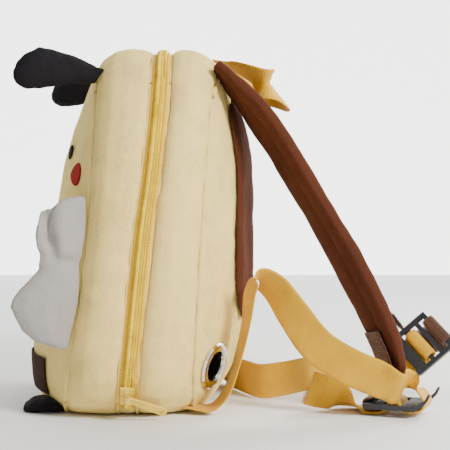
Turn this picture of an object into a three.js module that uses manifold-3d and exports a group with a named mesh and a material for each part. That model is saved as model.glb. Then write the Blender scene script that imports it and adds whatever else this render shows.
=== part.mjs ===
// A toddler's plush bee backpack, standing on its flat base.
// Millimetres, +Z up. The face looks along -Y, the wearer's back is on the +Y side, and X runs across.
// The origin is the middle of the flat base.
import * as THREE from "three";
import { mergeVertices } from "three/addons/utils/BufferGeometryUtils.js";
import Module from "manifold-3d";

const wasm = await Module();
wasm.setup();

// Driving sizes of the bag.
const HEIGHT = 257;
const HALF_WIDTH = 103;
const DEPTH = 80;
const BASE_CORNER = 38;
const ARCH_HEIGHT = 112;
const ARCH_POWER = 2.25;
const WALL = 4;
const GAP = 0.3;

// How far each seam lies inside the bag's widest outline.
const FRONT_SEAM_INSET = 12;
const BACK_SEAM_INSET = 17;
const ZIP_INSET = 3;

// The zip, its slider and its pull.
const TAPE_WIDTH = 13;
const TAPE_THICK = 1.2;
const TAPE_RECESS = 1;
const COIL_WIDTH = 6.4;
const COIL_HEIGHT = 2.4;
const SLIDER_LENGTH = 13;
const SLIDER_WIDTH = 9;
const SLIDER_HEIGHT = 2.2;
const SLIDER_HEIGHT_SHARE = 0.07;
const BRIDGE_HEIGHT = 3.4;
const BRIDGE_WIDTH = 2.4;
const BRIDGE_WIRE = 1.3;
const PULL_LENGTH = 27;
const PULL_WIDTH = 6;
const PULL_THICK = 1.4;
const PULL_DROOP = -20;

// The chrome grommet that the feeding tube passes through.
const PORT_OUTER = 33;
const PORT_HOLE = 21;
const PORT_RISE = 2.2;
const PORT_X = 64;
const PORT_Z = 32;

// Webbing and the shoulder straps.
const WEBBING_WIDTH = 25;
const WEBBING_THICK = 1.6;
const STRAP_WIDTH = 42;
const STRAP_THICK = 12;

// Ladder-lock buckles.
const BUCKLE_WIDTH = 38;
const BUCKLE_THICK = 3.4;
const BUCKLE_BAR = 3.6;
const BUCKLE_SLOT = 5;
const BUCKLE_LIP = 9;
const CLAW_WIDTH = 5;
const CLAW_RISE = 10;

// Patches sewn to the face.
const PATCH_THICK = 1.2;
const EYE_X = 47;
const EYE_Z = 180;
const EYE_WIDTH = 9;
const EYE_HEIGHT = 10.5;
const CHEEK_X = 68;
const CHEEK_Z = 164;
const CHEEK_WIDTH = 19;
const CHEEK_HEIGHT = 15;
const BELLY_HALF_WIDTH = 58;
const BELLY_BOTTOM = 11;
const BELLY_TOP = 37;

// The pad down the middle of the back.
const PAD_WIDTH = 96;
const PAD_THICK = 5;
const PAD_BOTTOM = 62;
const PAD_TOP = 216;

// Feet, wings and antennae.
const FOOT_WIDTH = 36;
const FOOT_LENGTH = 20;
const FOOT_THICK = 11;
const FOOT_X = 55;
const WING_TOP = 149;
const WING_BOTTOM = 48;
const WING_REACH = 44;
const WING_THICK = 15;
const WING_SPREAD = 20;
const ANTENNA_LENGTH = 60;
const ANTENNA_HEIGHT = 28;
const ANTENNA_THICK = 17;
const ANTENNA_X = 55;

// Colours as sRGB, with roughness and metalness.
const FINISH = {
  plush: { color: 0xe6d8ab, roughness: 0.95, metalness: 0 },
  zip: { color: 0xe8cc58, roughness: 0.6, metalness: 0 },
  black: { color: 0x1c1a1c, roughness: 0.95, metalness: 0 },
  wing: { color: 0xa8a49e, roughness: 0.95, metalness: 0 },
  red: { color: 0x7a1410, roughness: 0.9, metalness: 0 },
  brown: { color: 0x4d2917, roughness: 0.95, metalness: 0 },
  belly: { color: 0x2c1709, roughness: 0.95, metalness: 0 },
  tab: { color: 0x5a3420, roughness: 0.8, metalness: 0 },
  webbing: { color: 0xd9a341, roughness: 0.75, metalness: 0 },
  buckle: { color: 0x2a2b2d, roughness: 0.45, metalness: 0 },
  chrome: { color: 0xc9ccd0, roughness: 0.2, metalness: 1 },
};

// Where the seams and the zip lie along the depth at each height, all as shares of the bag's sizes.
const seamTable = [
  { height: 0, front: -0.55, zip: -0.012, back: 0.538 },
  { height: 0.18, front: -0.46, zip: 0.046, back: 0.577 },
  { height: 0.49, front: -0.335, zip: 0.15, back: 0.627 },
  { height: 0.66, front: -0.298, zip: 0.225, back: 0.671 },
  { height: 0.84, front: -0.284, zip: 0.27, back: 0.715 },
  { height: 1, front: -0.325, zip: 0.262, back: 0.84 },
];

// How far the middle of the face bulges past its seam at each height, as shares of the height and depth.
const faceTable = [
  { height: 0, bulge: 0.29 },
  { height: 0.03, bulge: 0.38 },
  { height: 0.1, bulge: 0.45 },
  { height: 0.16, bulge: 0.48 },
  { height: 0.31, bulge: 0.475 },
  { height: 0.43, bulge: 0.44 },
  { height: 0.576, bulge: 0.4 },
  { height: 0.724, bulge: 0.335 },
  { height: 0.77, bulge: 0.29 },
  { height: 0.844, bulge: 0.19 },
  { height: 0.88, bulge: 0.125 },
  { height: 0.96, bulge: 0.03 },
];

// The same for the back panel.
const backTable = [
  { height: 0, bulge: 0.12 },
  { height: 0.04, bulge: 0.24 },
  { height: 0.105, bulge: 0.34 },
  { height: 0.163, bulge: 0.385 },
  { height: 0.22, bulge: 0.412 },
  { height: 0.346, bulge: 0.41 },
  { height: 0.57, bulge: 0.365 },
  { height: 0.715, bulge: 0.304 },
  { height: 0.82, bulge: 0.2 },
  { height: 0.94, bulge: 0.02 },
];

// The gussets' crowned sections: across runs from one edge to the other, seam and zip are shares of the insets.
const frontGussetTable = [
  { across: 0, seam: 1, zip: 0 },
  { across: 0.12, seam: 0.55, zip: 0 },
  { across: 0.32, seam: 0.14, zip: 0 },
  { across: 0.6, seam: 0, zip: 0 },
  { across: 0.85, seam: 0, zip: 0.35 },
  { across: 1, seam: 0, zip: 1 },
];
const backGussetTable = [
  { across: 0, seam: 0, zip: 1 },
  { across: 0.18, seam: 0, zip: 0.35 },
  { across: 0.42, seam: 0.1, zip: 0 },
  { across: 0.66, seam: 0.32, zip: 0 },
  { across: 0.88, seam: 0.68, zip: 0 },
  { across: 1, seam: 1, zip: 0 },
];

const mix = (a, b, share) => a + (b - a) * share;

// A smooth curve through a table's column, read at a value of its key column.
function follow(rows, key, column) {
  return (at) => {
    const last = rows.length - 1;
    let i = rows.findIndex((row) => row[key] > at) - 1;
    if (i < 0) i = at <= rows[0][key] ? 0 : last - 1;
    const slope = (k) => {
      const a = rows[Math.max(k - 1, 0)];
      const b = rows[Math.min(k + 1, last)];
      return (b[column] - a[column]) / (b[key] - a[key]);
    };
    const span = rows[i + 1][key] - rows[i][key];
    const t = Math.min(Math.max((at - rows[i][key]) / span, 0), 1);
    const low = rows[i][column] * (1 + 2 * t) * (1 - t) ** 2;
    const high = rows[i + 1][column] * t * t * (3 - 2 * t);
    const bend = slope(i) * t * (1 - t) ** 2 - slope(i + 1) * t * t * (1 - t);
    return low + high + bend * span;
  };
}

const frontShare = follow(seamTable, "height", "front");
const zipShare = follow(seamTable, "height", "zip");
const backShare = follow(seamTable, "height", "back");
const faceShare = follow(faceTable, "height", "bulge");
const panelShare = follow(backTable, "height", "bulge");
const frontY = (z) => DEPTH * frontShare(z / HEIGHT);
const zipY = (z) => DEPTH * zipShare(z / HEIGHT);
const backY = (z) => DEPTH * backShare(z / HEIGHT);

// Half of the bag's width at a height, for an outline lying inset inside the widest one.
function halfWidthAt(z, inset) {
  const side = HALF_WIDTH - inset;
  const archFoot = HEIGHT - ARCH_HEIGHT;
  if (z < BASE_CORNER) {
    return side - BASE_CORNER + Math.sqrt(BASE_CORNER ** 2 - (BASE_CORNER - Math.max(z, 0)) ** 2);
  }
  if (z < archFoot) return side;
  const rise = Math.min((z - archFoot) / (ARCH_HEIGHT - inset), 1);
  return side * (1 - rise ** ARCH_POWER) ** (1 / ARCH_POWER);
}

// The stations of the outline, from the middle of the base up one side to the top.
const BASE_STEPS = 3;
const CORNER_STEPS = 5;
const SIDE_STEPS = 3;
const ARCH_STEPS = 10;
const halfStations = [
  ...Array.from({ length: BASE_STEPS }, (_, i) => ({ stage: "base", share: i / BASE_STEPS })),
  ...Array.from({ length: CORNER_STEPS }, (_, i) => ({ stage: "corner", share: i / CORNER_STEPS })),
  ...Array.from({ length: SIDE_STEPS }, (_, i) => ({ stage: "side", share: i / SIDE_STEPS })),
  ...Array.from({ length: ARCH_STEPS + 1 }, (_, i) => ({ stage: "arch", share: i / ARCH_STEPS })),
];

// One point of the outline in the X-Z plane: side is 1 for the right half and -1 for the left.
function outlinePoint(station, inset, side) {
  const half = HALF_WIDTH - inset;
  const archFoot = HEIGHT - ARCH_HEIGHT;
  const turn = (station.share * Math.PI) / 2;
  if (station.stage === "base") {
    return new THREE.Vector2(side * station.share * (half - BASE_CORNER), 0);
  }
  if (station.stage === "corner") {
    const x = half - BASE_CORNER + BASE_CORNER * Math.sin(turn);
    return new THREE.Vector2(side * x, BASE_CORNER * (1 - Math.cos(turn)));
  }
  if (station.stage === "side") {
    return new THREE.Vector2(side * half, BASE_CORNER + station.share * (archFoot - BASE_CORNER));
  }
  const power = 2 / ARCH_POWER;
  const x = half * Math.cos(turn) ** power;
  const z = archFoot + (ARCH_HEIGHT - inset) * Math.sin(turn) ** power;
  return new THREE.Vector2(side * (station.share === 1 ? 0 : x), z);
}

// The whole closed outline, anticlockwise seen from the back, with the outward direction at each point.
function outline(inset) {
  const right = halfStations.map((station) => outlinePoint(station, inset, 1));
  const left = halfStations.slice(1, -1).map((station) => outlinePoint(station, inset, -1));
  const points = [...right, ...left.reverse()];
  return points.map((point, i) => {
    const before = points[(i + points.length - 1) % points.length];
    const after = points[(i + 1) % points.length];
    const out = new THREE.Vector2(after.y - before.y, before.x - after.x).normalize();
    if (point.y < 1e-6) out.set(0, -1);
    return { x: point.x, z: point.y, outX: out.x, outZ: out.y };
  });
}
const AROUND = 2 * (halfStations.length - 1);

// A closed surface through a row of loops, each with as many points. An open row gets an end on each side:
// a fan, or for a thin bent section a ladder between its two long sides.
function loft(loops, ends = "fan") {
  const count = loops[0].length;
  const positions = loops.flatMap((loop) => loop.flatMap((p) => [p.x, p.y, p.z]));
  const index = [];
  const spans = ends === "joined" ? loops.length : loops.length - 1;
  for (let i = 0; i < spans; i++) {
    const a = i * count;
    const b = ((i + 1) % loops.length) * count;
    for (let k = 0; k < count; k++) {
      const n = (k + 1) % count;
      index.push(a + k, a + n, b + n, a + k, b + n, b + k);
    }
  }
  const face = (forward, a, b, c) => index.push(...(forward ? [a, c, b] : [a, b, c]));
  const fan = (start, loop, forward) => {
    const middle = new THREE.Vector3();
    loop.forEach((p) => middle.addScaledVector(p, 1 / count));
    const hub = positions.length / 3;
    positions.push(middle.x, middle.y, middle.z);
    for (let k = 0; k < count; k++) face(forward, hub, start + k, start + ((k + 1) % count));
  };
  const ladder = (start, loop, forward) => {
    for (let k = 0; k < count / 2 - 1; k++) {
      const far = count - 1 - k;
      face(forward, start + k, start + k + 1, start + far - 1);
      face(forward, start + k, start + far - 1, start + far);
    }
  };
  if (ends !== "joined") {
    const close = ends === "ladder" ? ladder : fan;
    close(0, loops[0], true);
    close((loops.length - 1) * count, loops[loops.length - 1], false);
  }
  const geometry = new THREE.BufferGeometry();
  geometry.setAttribute("position", new THREE.Float32BufferAttribute(positions, 3));
  geometry.setIndex(index);
  if (volumeOf(geometry) < 0) index.reverse();
  geometry.setIndex(index);
  return finished(geometry);
}

// Six times a closed surface's volume is the sum of its triangles' triple products.
function volumeOf(geometry) {
  const at = geometry.getAttribute("position");
  const index = geometry.getIndex().array;
  const corner = [0, 1, 2].map(() => new THREE.Vector3());
  let sum = 0;
  for (let i = 0; i < index.length; i += 3) {
    corner.forEach((c, k) => c.fromBufferAttribute(at, index[i + k]));
    sum += corner[0].dot(corner[1].clone().cross(corner[2]));
  }
  return sum / 6;
}

function finished(geometry) {
  geometry.computeVertexNormals();
  return geometry;
}

// Joins and cuts of closed meshes.
function toSolid(geometry) {
  const bare = geometry.clone();
  bare.deleteAttribute("normal");
  bare.deleteAttribute("uv");
  const merged = mergeVertices(bare, 1e-4);
  return new wasm.Manifold(
    new wasm.Mesh({
      numProp: 3,
      vertProperties: new Float32Array(merged.getAttribute("position").array),
      triVerts: new Uint32Array(merged.getIndex().array),
    }),
  );
}

function fromSolid(solid) {
  const mesh = solid.getMesh();
  const geometry = new THREE.BufferGeometry();
  geometry.setAttribute("position", new THREE.BufferAttribute(mesh.vertProperties, 3));
  geometry.setIndex(new THREE.BufferAttribute(mesh.triVerts, 1));
  return finished(geometry);
}

const joined = (...geometries) =>
  fromSolid(geometries.map(toSolid).reduce((sum, solid) => sum.add(solid)));
const cut = (geometry, tool) => fromSolid(toSolid(geometry).subtract(toSolid(tool)));

// The other side's copy of a geometry.
function mirrored(geometry) {
  const copy = geometry.clone().scale(-1, 1, 1);
  const index = Array.from(copy.getIndex().array).reverse();
  copy.setIndex(index);
  return finished(copy);
}

// How fully the face and the back panel swell across their width.
const FACE_FULLNESS = 1.7;
const BACK_FULLNESS = 2.2;
const ZIP_EDGE = TAPE_WIDTH / 2;

// The outer surface of the face and of the back panel over a point of the X-Z plane.
function faceY(x, z) {
  const across = Math.min(Math.abs(x) / Math.max(halfWidthAt(z, FRONT_SEAM_INSET), 1), 1);
  return frontY(z) - DEPTH * faceShare(z / HEIGHT) * (1 - across ** FACE_FULLNESS);
}
function panelY(x, z) {
  const across = Math.min(Math.abs(x) / Math.max(halfWidthAt(z, BACK_SEAM_INSET), 1), 1);
  return backY(z) + DEPTH * panelShare(z / HEIGHT) * (1 - across ** BACK_FULLNESS);
}

// The rings of a domed panel, from its seam to its middle, as shares of the seam's outline.
const PANEL_MIDDLE = 0.46;
const ringShares = [1, 0.985, 0.93, 0.82, 0.64, 0.42, 0.18];
const panelTable = {
  face: { inset: FRONT_SEAM_INSET, seam: frontY, surface: faceY, out: -1 },
  back: { inset: BACK_SEAM_INSET, seam: backY, surface: panelY, out: 1 },
};

function panelRing(panel, share, reach, lift) {
  const middle = HEIGHT * PANEL_MIDDLE;
  return outline(panel.inset).map((p) => {
    const x = p.x * share;
    const z = middle + (p.z - middle) * share;
    const y = share === 1 ? panel.seam(p.z) + (panel.out * GAP) / 2 : panel.surface(x, z);
    return new THREE.Vector3(x + p.outX * reach, y + panel.out * lift, z + p.outZ * reach);
  });
}

// A domed panel of padded plush: its outer skin, its edge along the seam and its inner skin.
function domedPanel(panel) {
  const outer = ringShares.map((share) => panelRing(panel, share, 0, 0)).reverse();
  const inner = ringShares.map((share) =>
    panelRing(panel, share, -WALL * share ** 3, -WALL * (1 - share ** 8)),
  );
  return loft([...outer, ...inner]);
}

// One row of a gusset's section, from edge a to edge b.
const frontRow = (row, grow) => ({
  inset: row.seam * FRONT_SEAM_INSET + row.zip * ZIP_INSET - grow,
  y: (z) => mix(frontY(z) + GAP / 2, zipY(z) - ZIP_EDGE, row.across),
});
const backRow = (row, grow) => ({
  inset: row.seam * BACK_SEAM_INSET + row.zip * ZIP_INSET - grow,
  y: (z) => mix(zipY(z) + ZIP_EDGE, backY(z) - GAP / 2, row.across),
});

// A point of the outline pushed out by grow, at the depth that y gives for its height.
function skinPoint(station, row, grow) {
  const p = row.points[station];
  return new THREE.Vector3(p.x + p.outX * grow, row.y(p.z), p.z + p.outZ * grow);
}

// A gusset: a crowned band of padded plush round the whole bag.
function gusset(rows) {
  const band = rows.map((row) => ({ ...row, points: outline(row.inset) }));
  const loops = Array.from({ length: AROUND }, (_, station) => [
    ...band.map((row) => skinPoint(station, row, 0)),
    ...band.map((row) => skinPoint(station, row, -WALL)).reverse(),
  ]);
  return loft(loops, "joined");
}

// The bag's filled outer form, a little larger, which trims whatever is sewn to it.
function filledBag(grow) {
  const ring = (row) => {
    const points = outline(row.inset);
    return points.map((p, station) => skinPoint(station, { ...row, points }, grow));
  };
  return loft([
    ...ringShares.map((share) => panelRing(panelTable.face, share, grow, grow)).reverse(),
    ...frontGussetTable.map((row) => ring(frontRow(row, 0))),
    ...backGussetTable.map((row) => ring(backRow(row, 0))),
    ...ringShares.map((share) => panelRing(panelTable.back, share, grow, grow)),
  ]);
}

// The stations that the zip covers, from its right end over the top to its left end.
const ZIP_START = BASE_STEPS + 2;
const zipStations = Array.from({ length: AROUND - 2 * ZIP_START + 1 }, (_, i) => ZIP_START + i);
const stripStations = Array.from({ length: 2 * ZIP_START + 1 }, (_, i) => (i - ZIP_START + AROUND) % AROUND);

// A strip along the outline: its section lists across (along the depth) and rise (outwards) in millimetres.
function strip(stations, inset, section) {
  const points = outline(inset);
  return stations.map((station) => {
    const p = points[station];
    return section.map(
      (c) => new THREE.Vector3(p.x + p.outX * c.rise, zipY(p.z) + c.across, p.z + p.outZ * c.rise),
    );
  });
}

const rectangle = (halfWidth, low, high) => [
  { across: -halfWidth, rise: high },
  { across: halfWidth, rise: high },
  { across: halfWidth, rise: low },
  { across: -halfWidth, rise: low },
];

function zipTape() {
  const section = rectangle(ZIP_EDGE - GAP, -TAPE_THICK, 0);
  return loft(strip(zipStations, ZIP_INSET + TAPE_RECESS, section));
}

// The two rows of coil teeth, with the groove between them.
const coilTable = [
  { across: -1, rise: 0 },
  { across: -0.9, rise: 0.75 },
  { across: -0.5, rise: 1 },
  { across: -0.08, rise: 0.7 },
  { across: 0.08, rise: 0.7 },
  { across: 0.5, rise: 1 },
  { across: 0.9, rise: 0.75 },
  { across: 1, rise: 0 },
];
function zipCoil() {
  const section = coilTable.map((row) => ({
    across: (row.across * COIL_WIDTH) / 2,
    rise: GAP + row.rise * COIL_HEIGHT,
  }));
  return loft(strip(zipStations, ZIP_INSET + TAPE_RECESS, section));
}

// The plush strip under the base between the two ends of the zip, whose ends stop short of the tape.
const STRIP_END_SHARE = 0.92;
function bottomStrip() {
  const loops = strip(stripStations, ZIP_INSET, rectangle(ZIP_EDGE - GAP, -WALL, 0));
  const pullBack = (end, next) =>
    loops[end].forEach((p, k) => p.lerp(loops[next][k], 1 - STRIP_END_SHARE));
  pullBack(0, 1);
  pullBack(loops.length - 1, loops.length - 2);
  return loft(loops);
}

// A band along a path: rows give the middle line, the direction of the width, and shares of width and thickness.
function band(rows, width, thick, corners, steps) {
  const line = new THREE.CatmullRomCurve3(rows.map((row) => row.at), false, "centripetal");
  const last = rows.length - 1;
  const pick = (t, get) => {
    const i = Math.min(Math.floor(t * last), last - 1);
    return mix(get(rows[i]), get(rows[i + 1]), t * last - i);
  };
  const loops = Array.from({ length: steps + 1 }, (_, k) => {
    const t = k / steps;
    const along = line.getTangent(t);
    const across = new THREE.Vector3(
      pick(t, (row) => row.face[0]),
      pick(t, (row) => row.face[1]),
      pick(t, (row) => row.face[2]),
    );
    across.addScaledVector(along, -across.dot(along)).normalize();
    const out = new THREE.Vector3().crossVectors(along, across);
    const halfWidth = (width * pick(t, (row) => row.wide ?? 1)) / 2;
    const halfThick = (thick * pick(t, (row) => row.thick ?? 1)) / 2;
    return corners.map((c) =>
      line.getPoint(t).addScaledVector(across, c.x * halfWidth).addScaledVector(out, c.y * halfThick),
    );
  });
  return loft(loops);
}

// Sections of a band, as shares of its half width and half thickness.
const flatSection = [
  { x: -1, y: -1 },
  { x: 1, y: -1 },
  { x: 1, y: 1 },
  { x: -1, y: 1 },
];
const PADDED_POINTS = 10;
const PADDED_POWER = 0.6;
const paddedSection = Array.from({ length: PADDED_POINTS }, (_, i) => {
  const turn = (2 * Math.PI * (i + 0.5)) / PADDED_POINTS;
  const soft = (v) => Math.sign(v) * Math.abs(v) ** PADDED_POWER;
  return { x: soft(Math.cos(turn)), y: soft(Math.sin(turn)) };
});
const point = (x, y, z) => new THREE.Vector3(x, y, z);

// What is sewn to the bag is trimmed to lie just clear of its skin.
const bagForm = filledBag(1.3 * GAP);
const trimmed = (geometry) => cut(geometry, bagForm);

// A round patch that follows the face: its outline is given by x and z from its middle.
const PATCH_LIFT = 0.35;
const patchRings = [0.12, 0.6, 1];
function facePatch(middleX, middleZ, points) {
  const ring = (share, lift) =>
    points.map((p) => {
      const x = middleX + p.x * share;
      const z = middleZ + p.z * share;
      return point(x, faceY(x, z) - lift, z);
    });
  return loft([
    ...patchRings.map((share) => ring(share, PATCH_LIFT + PATCH_THICK)),
    ...patchRings.map((share) => ring(share, PATCH_LIFT)).reverse(),
  ]);
}

const roundPoints = (count, shape) =>
  Array.from({ length: count }, (_, i) => shape((2 * Math.PI * i) / count));

function eye() {
  const points = roundPoints(14, (turn) => ({
    x: (EYE_WIDTH / 2) * Math.cos(turn),
    z: (EYE_HEIGHT / 2) * Math.sin(turn),
  }));
  return facePatch(EYE_X, EYE_Z, points);
}

// A cheek is a rounded leaf that narrows to a point at its lower inner end.
const CHEEK_TAPER = 0.35;
function cheek() {
  const points = roundPoints(16, (turn) => ({
    x: (CHEEK_WIDTH / 2) * Math.cos(turn),
    z: (CHEEK_HEIGHT / 2) * Math.sin(turn) * (1 + CHEEK_TAPER * Math.cos(turn)),
  }));
  return facePatch(CHEEK_X, CHEEK_Z, points);
}

// The dark stripe across the belly, in columns across the face.
const BELLY_COLUMNS = 18;
const BELLY_ROWS = 4;
function bellyStripe() {
  const loops = Array.from({ length: BELLY_COLUMNS + 1 }, (_, i) => {
    const x = mix(-BELLY_HALF_WIDTH, BELLY_HALF_WIDTH, i / BELLY_COLUMNS);
    const column = (lift) =>
      Array.from({ length: BELLY_ROWS + 1 }, (_, k) => {
        const z = mix(BELLY_BOTTOM, BELLY_TOP, k / BELLY_ROWS);
        return point(x, faceY(x, z) - lift, z);
      });
    return [...column(PATCH_LIFT + PATCH_THICK), ...column(PATCH_LIFT).reverse()];
  });
  return loft(loops, "ladder");
}

// The plush pad down the back, crowned towards its middle, in rows up the panel.
const padTable = [
  { across: -1, thick: 0.25 },
  { across: -0.9, thick: 0.8 },
  { across: -0.5, thick: 1 },
  { across: 0, thick: 1 },
  { across: 0.5, thick: 1 },
  { across: 0.9, thick: 0.8 },
  { across: 1, thick: 0.25 },
];
const PAD_ROWS = 14;
const PAD_END = 0.06;
const PAD_ROUND = 4;
function backPad() {
  const lift = 2 * PATCH_LIFT;
  const loops = Array.from({ length: PAD_ROWS + 1 }, (_, i) => {
    const up = i / PAD_ROWS;
    const z = mix(PAD_BOTTOM, PAD_TOP, up);
    const end = Math.min(up, 1 - up);
    const full = end < PAD_END ? 0.4 : 1;
    const half = (PAD_WIDTH / 2) * (1 - Math.abs(2 * up - 1) ** (2 * PAD_ROUND) * 0.3);
    const row = (skin) =>
      padTable.map((c) => {
        const x = c.across * half;
        return point(x, panelY(x, z) + lift + skin * PAD_THICK * c.thick * full, z);
      });
    return [...row(1), ...row(0).reverse()];
  });
  return loft(loops, "ladder");
}

// The frame of the tube port: the skin's point and its outward direction.
const PORT_PROBE = 3;
const portMiddle = point(PORT_X, panelY(PORT_X, PORT_Z), PORT_Z);
const portSlopeX = panelY(PORT_X + PORT_PROBE, PORT_Z) - panelY(PORT_X - PORT_PROBE, PORT_Z);
const portSlopeZ = panelY(PORT_X, PORT_Z + PORT_PROBE) - panelY(PORT_X, PORT_Z - PORT_PROBE);
const portOut = point(-portSlopeX, 2 * PORT_PROBE, -portSlopeZ).normalize();
const portTurn = new THREE.Quaternion().setFromUnitVectors(point(0, 1, 0), portOut);
const seated = (geometry) => geometry.applyQuaternion(portTurn).translate(...portMiddle.toArray());

// Lathed shapes turn about their own +Y.
const PORT_SIDES = 20;
const PORT_SEAT = -1.4;
const PORT_SLEEVE = 1.1;
const PORT_DEPTH = 12;
const turned = (rows) => {
  const profile = rows.map((row) => new THREE.Vector2(row.radius, row.rise));
  const geometry = new THREE.LatheGeometry([...profile, profile[0]], PORT_SIDES);
  return fromSolid(toSolid(geometry));
};
function portRing() {
  const hole = PORT_HOLE / 2;
  const rim = PORT_OUTER / 2;
  return seated(
    turned([
      { radius: hole, rise: PORT_SEAT - WALL },
      { radius: hole + PORT_SLEEVE, rise: PORT_SEAT - WALL },
      { radius: hole + PORT_SLEEVE, rise: PORT_SEAT + GAP },
      { radius: rim, rise: PORT_SEAT + GAP },
      { radius: rim, rise: PORT_SEAT + GAP + PORT_RISE * 0.3 },
      { radius: rim - PORT_RISE * 0.5, rise: PORT_SEAT + GAP + PORT_RISE * 0.8 },
      { radius: mix(hole, rim, 0.5), rise: PORT_SEAT + GAP + PORT_RISE },
      { radius: hole + PORT_RISE * 0.2, rise: PORT_SEAT + GAP + PORT_RISE * 0.7 },
      { radius: hole, rise: PORT_SEAT + GAP },
    ]),
  );
}
function portCutter() {
  const bore = PORT_HOLE / 2 + PORT_SLEEVE + GAP;
  const seat = PORT_OUTER / 2 + GAP;
  return seated(
    turned([
      { radius: 0, rise: -PORT_DEPTH },
      { radius: bore, rise: -PORT_DEPTH },
      { radius: bore, rise: PORT_SEAT },
      { radius: seat, rise: PORT_SEAT },
      { radius: seat, rise: PORT_DEPTH },
      { radius: 0, rise: PORT_DEPTH },
    ]),
  );
}

// A foot: a flat stuffed tongue that lies on the floor in front of the face's lower edge.
const FOOT_BACK = -45;
const FOOT_RIM = 0.35;
function foot() {
  const rows = [
    { along: 0, wide: 0.8, thick: 0.9 },
    { along: 0.45, wide: 1, thick: 1 },
    { along: 0.8, wide: 0.86, thick: 0.9 },
    { along: 1, wide: 0.42, thick: 0.5 },
  ];
  const length = FOOT_LENGTH + Math.abs(FOOT_BACK) / 5;
  const loops = rows.map((row) =>
    roundPoints(12, (turn) => {
      const x = FOOT_X + (FOOT_WIDTH / 2) * row.wide * Math.cos(turn);
      const z = FOOT_THICK * row.thick * (0.5 + 0.5 * Math.sin(turn));
      return point(x, FOOT_BACK - length * row.along, Math.max(z - FOOT_RIM, 0));
    }),
  );
  return loft(loops);
}

// The wing's edge: down and reach are shares of the sewn length and of the wing's reach, plump of its thickness.
const wingTable = [
  { down: 0, reach: 0.2, rise: 0, plump: 0.25 },
  { down: 0.06, reach: 0.55, rise: 0.02, plump: 0.55 },
  { down: 0.13, reach: 0.645, rise: 0.04, plump: 0.8 },
  { down: 0.27, reach: 0.67, rise: 0.03, plump: 1 },
  { down: 0.41, reach: 0.62, rise: 0.01, plump: 0.85 },
  { down: 0.475, reach: 0.565, rise: 0.01, plump: 0.7 },
  { down: 0.56, reach: 0.73, rise: 0, plump: 0.9 },
  { down: 0.64, reach: 0.885, rise: -0.015, plump: 1 },
  { down: 0.7, reach: 0.9, rise: -0.01, plump: 1 },
  { down: 0.84, reach: 0.72, rise: -0.02, plump: 0.8 },
  { down: 0.93, reach: 0.5, rise: -0.01, plump: 0.5 },
  { down: 1, reach: 0.15, rise: 0, plump: 0.25 },
];
const wingSection = [
  { along: -0.04, thick: 0.3 },
  { along: 0.2, thick: 0.75 },
  { along: 0.5, thick: 1 },
  { along: 0.8, thick: 0.75 },
  { along: 0.97, thick: 0.22 },
];
const WING_ROOT = 2;
function wing() {
  const height = WING_TOP - WING_BOTTOM;
  const loops = wingTable.map((row) => {
    const z = WING_TOP - row.down * height;
    const root = point(halfWidthAt(z, FRONT_SEAM_INSET) + WING_ROOT, frontY(z) - WING_ROOT, z);
    const tip = root.clone().add(point(row.reach * WING_SPREAD, -row.reach * WING_REACH, row.rise * height));
    const out = point(WING_REACH, WING_SPREAD, 0).normalize();
    const side = (sign) =>
      wingSection.map((c) =>
        root.clone().lerp(tip, c.along).addScaledVector(out, (sign * c.thick * row.plump * WING_THICK) / 2),
      );
    return [...side(1), ...side(-1).reverse()];
  });
  return loft(loops);
}

// An antenna: a flopped, stuffed lobe. Places are shares of its length, sizes of its height and thickness.
const antennaTable = [
  { along: 0, out: -0.02, rise: 0, high: 0.4, thick: 0.35 },
  { along: 0.1, out: 0.02, rise: 0.02, high: 0.44, thick: 0.45 },
  { along: 0.34, out: 0.16, rise: 0.07, high: 0.66, thick: 0.8 },
  { along: 0.55, out: 0.28, rise: 0.08, high: 0.88, thick: 1 },
  { along: 0.72, out: 0.37, rise: 0.07, high: 1, thick: 1 },
  { along: 0.87, out: 0.45, rise: 0.03, high: 0.82, thick: 0.85 },
  { along: 0.96, out: 0.5, rise: 0, high: 0.5, thick: 0.55 },
  { along: 1, out: 0.52, rise: -0.01, high: 0.2, thick: 0.25 },
];
const ANTENNA_SIDES = 12;
const ANTENNA_Y = -16;
const ANTENNA_Z = 231;
function antenna() {
  const loops = antennaTable.map((row) =>
    roundPoints(ANTENNA_SIDES, (turn) =>
      point(
        ANTENNA_X + row.out * ANTENNA_LENGTH + (ANTENNA_THICK / 2) * row.thick * Math.cos(turn),
        ANTENNA_Y - row.along * ANTENNA_LENGTH,
        ANTENNA_Z + row.rise * ANTENNA_LENGTH + (ANTENNA_HEIGHT / 2) * row.high * Math.sin(turn),
      ),
    ),
  );
  return loft(loops);
}

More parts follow.
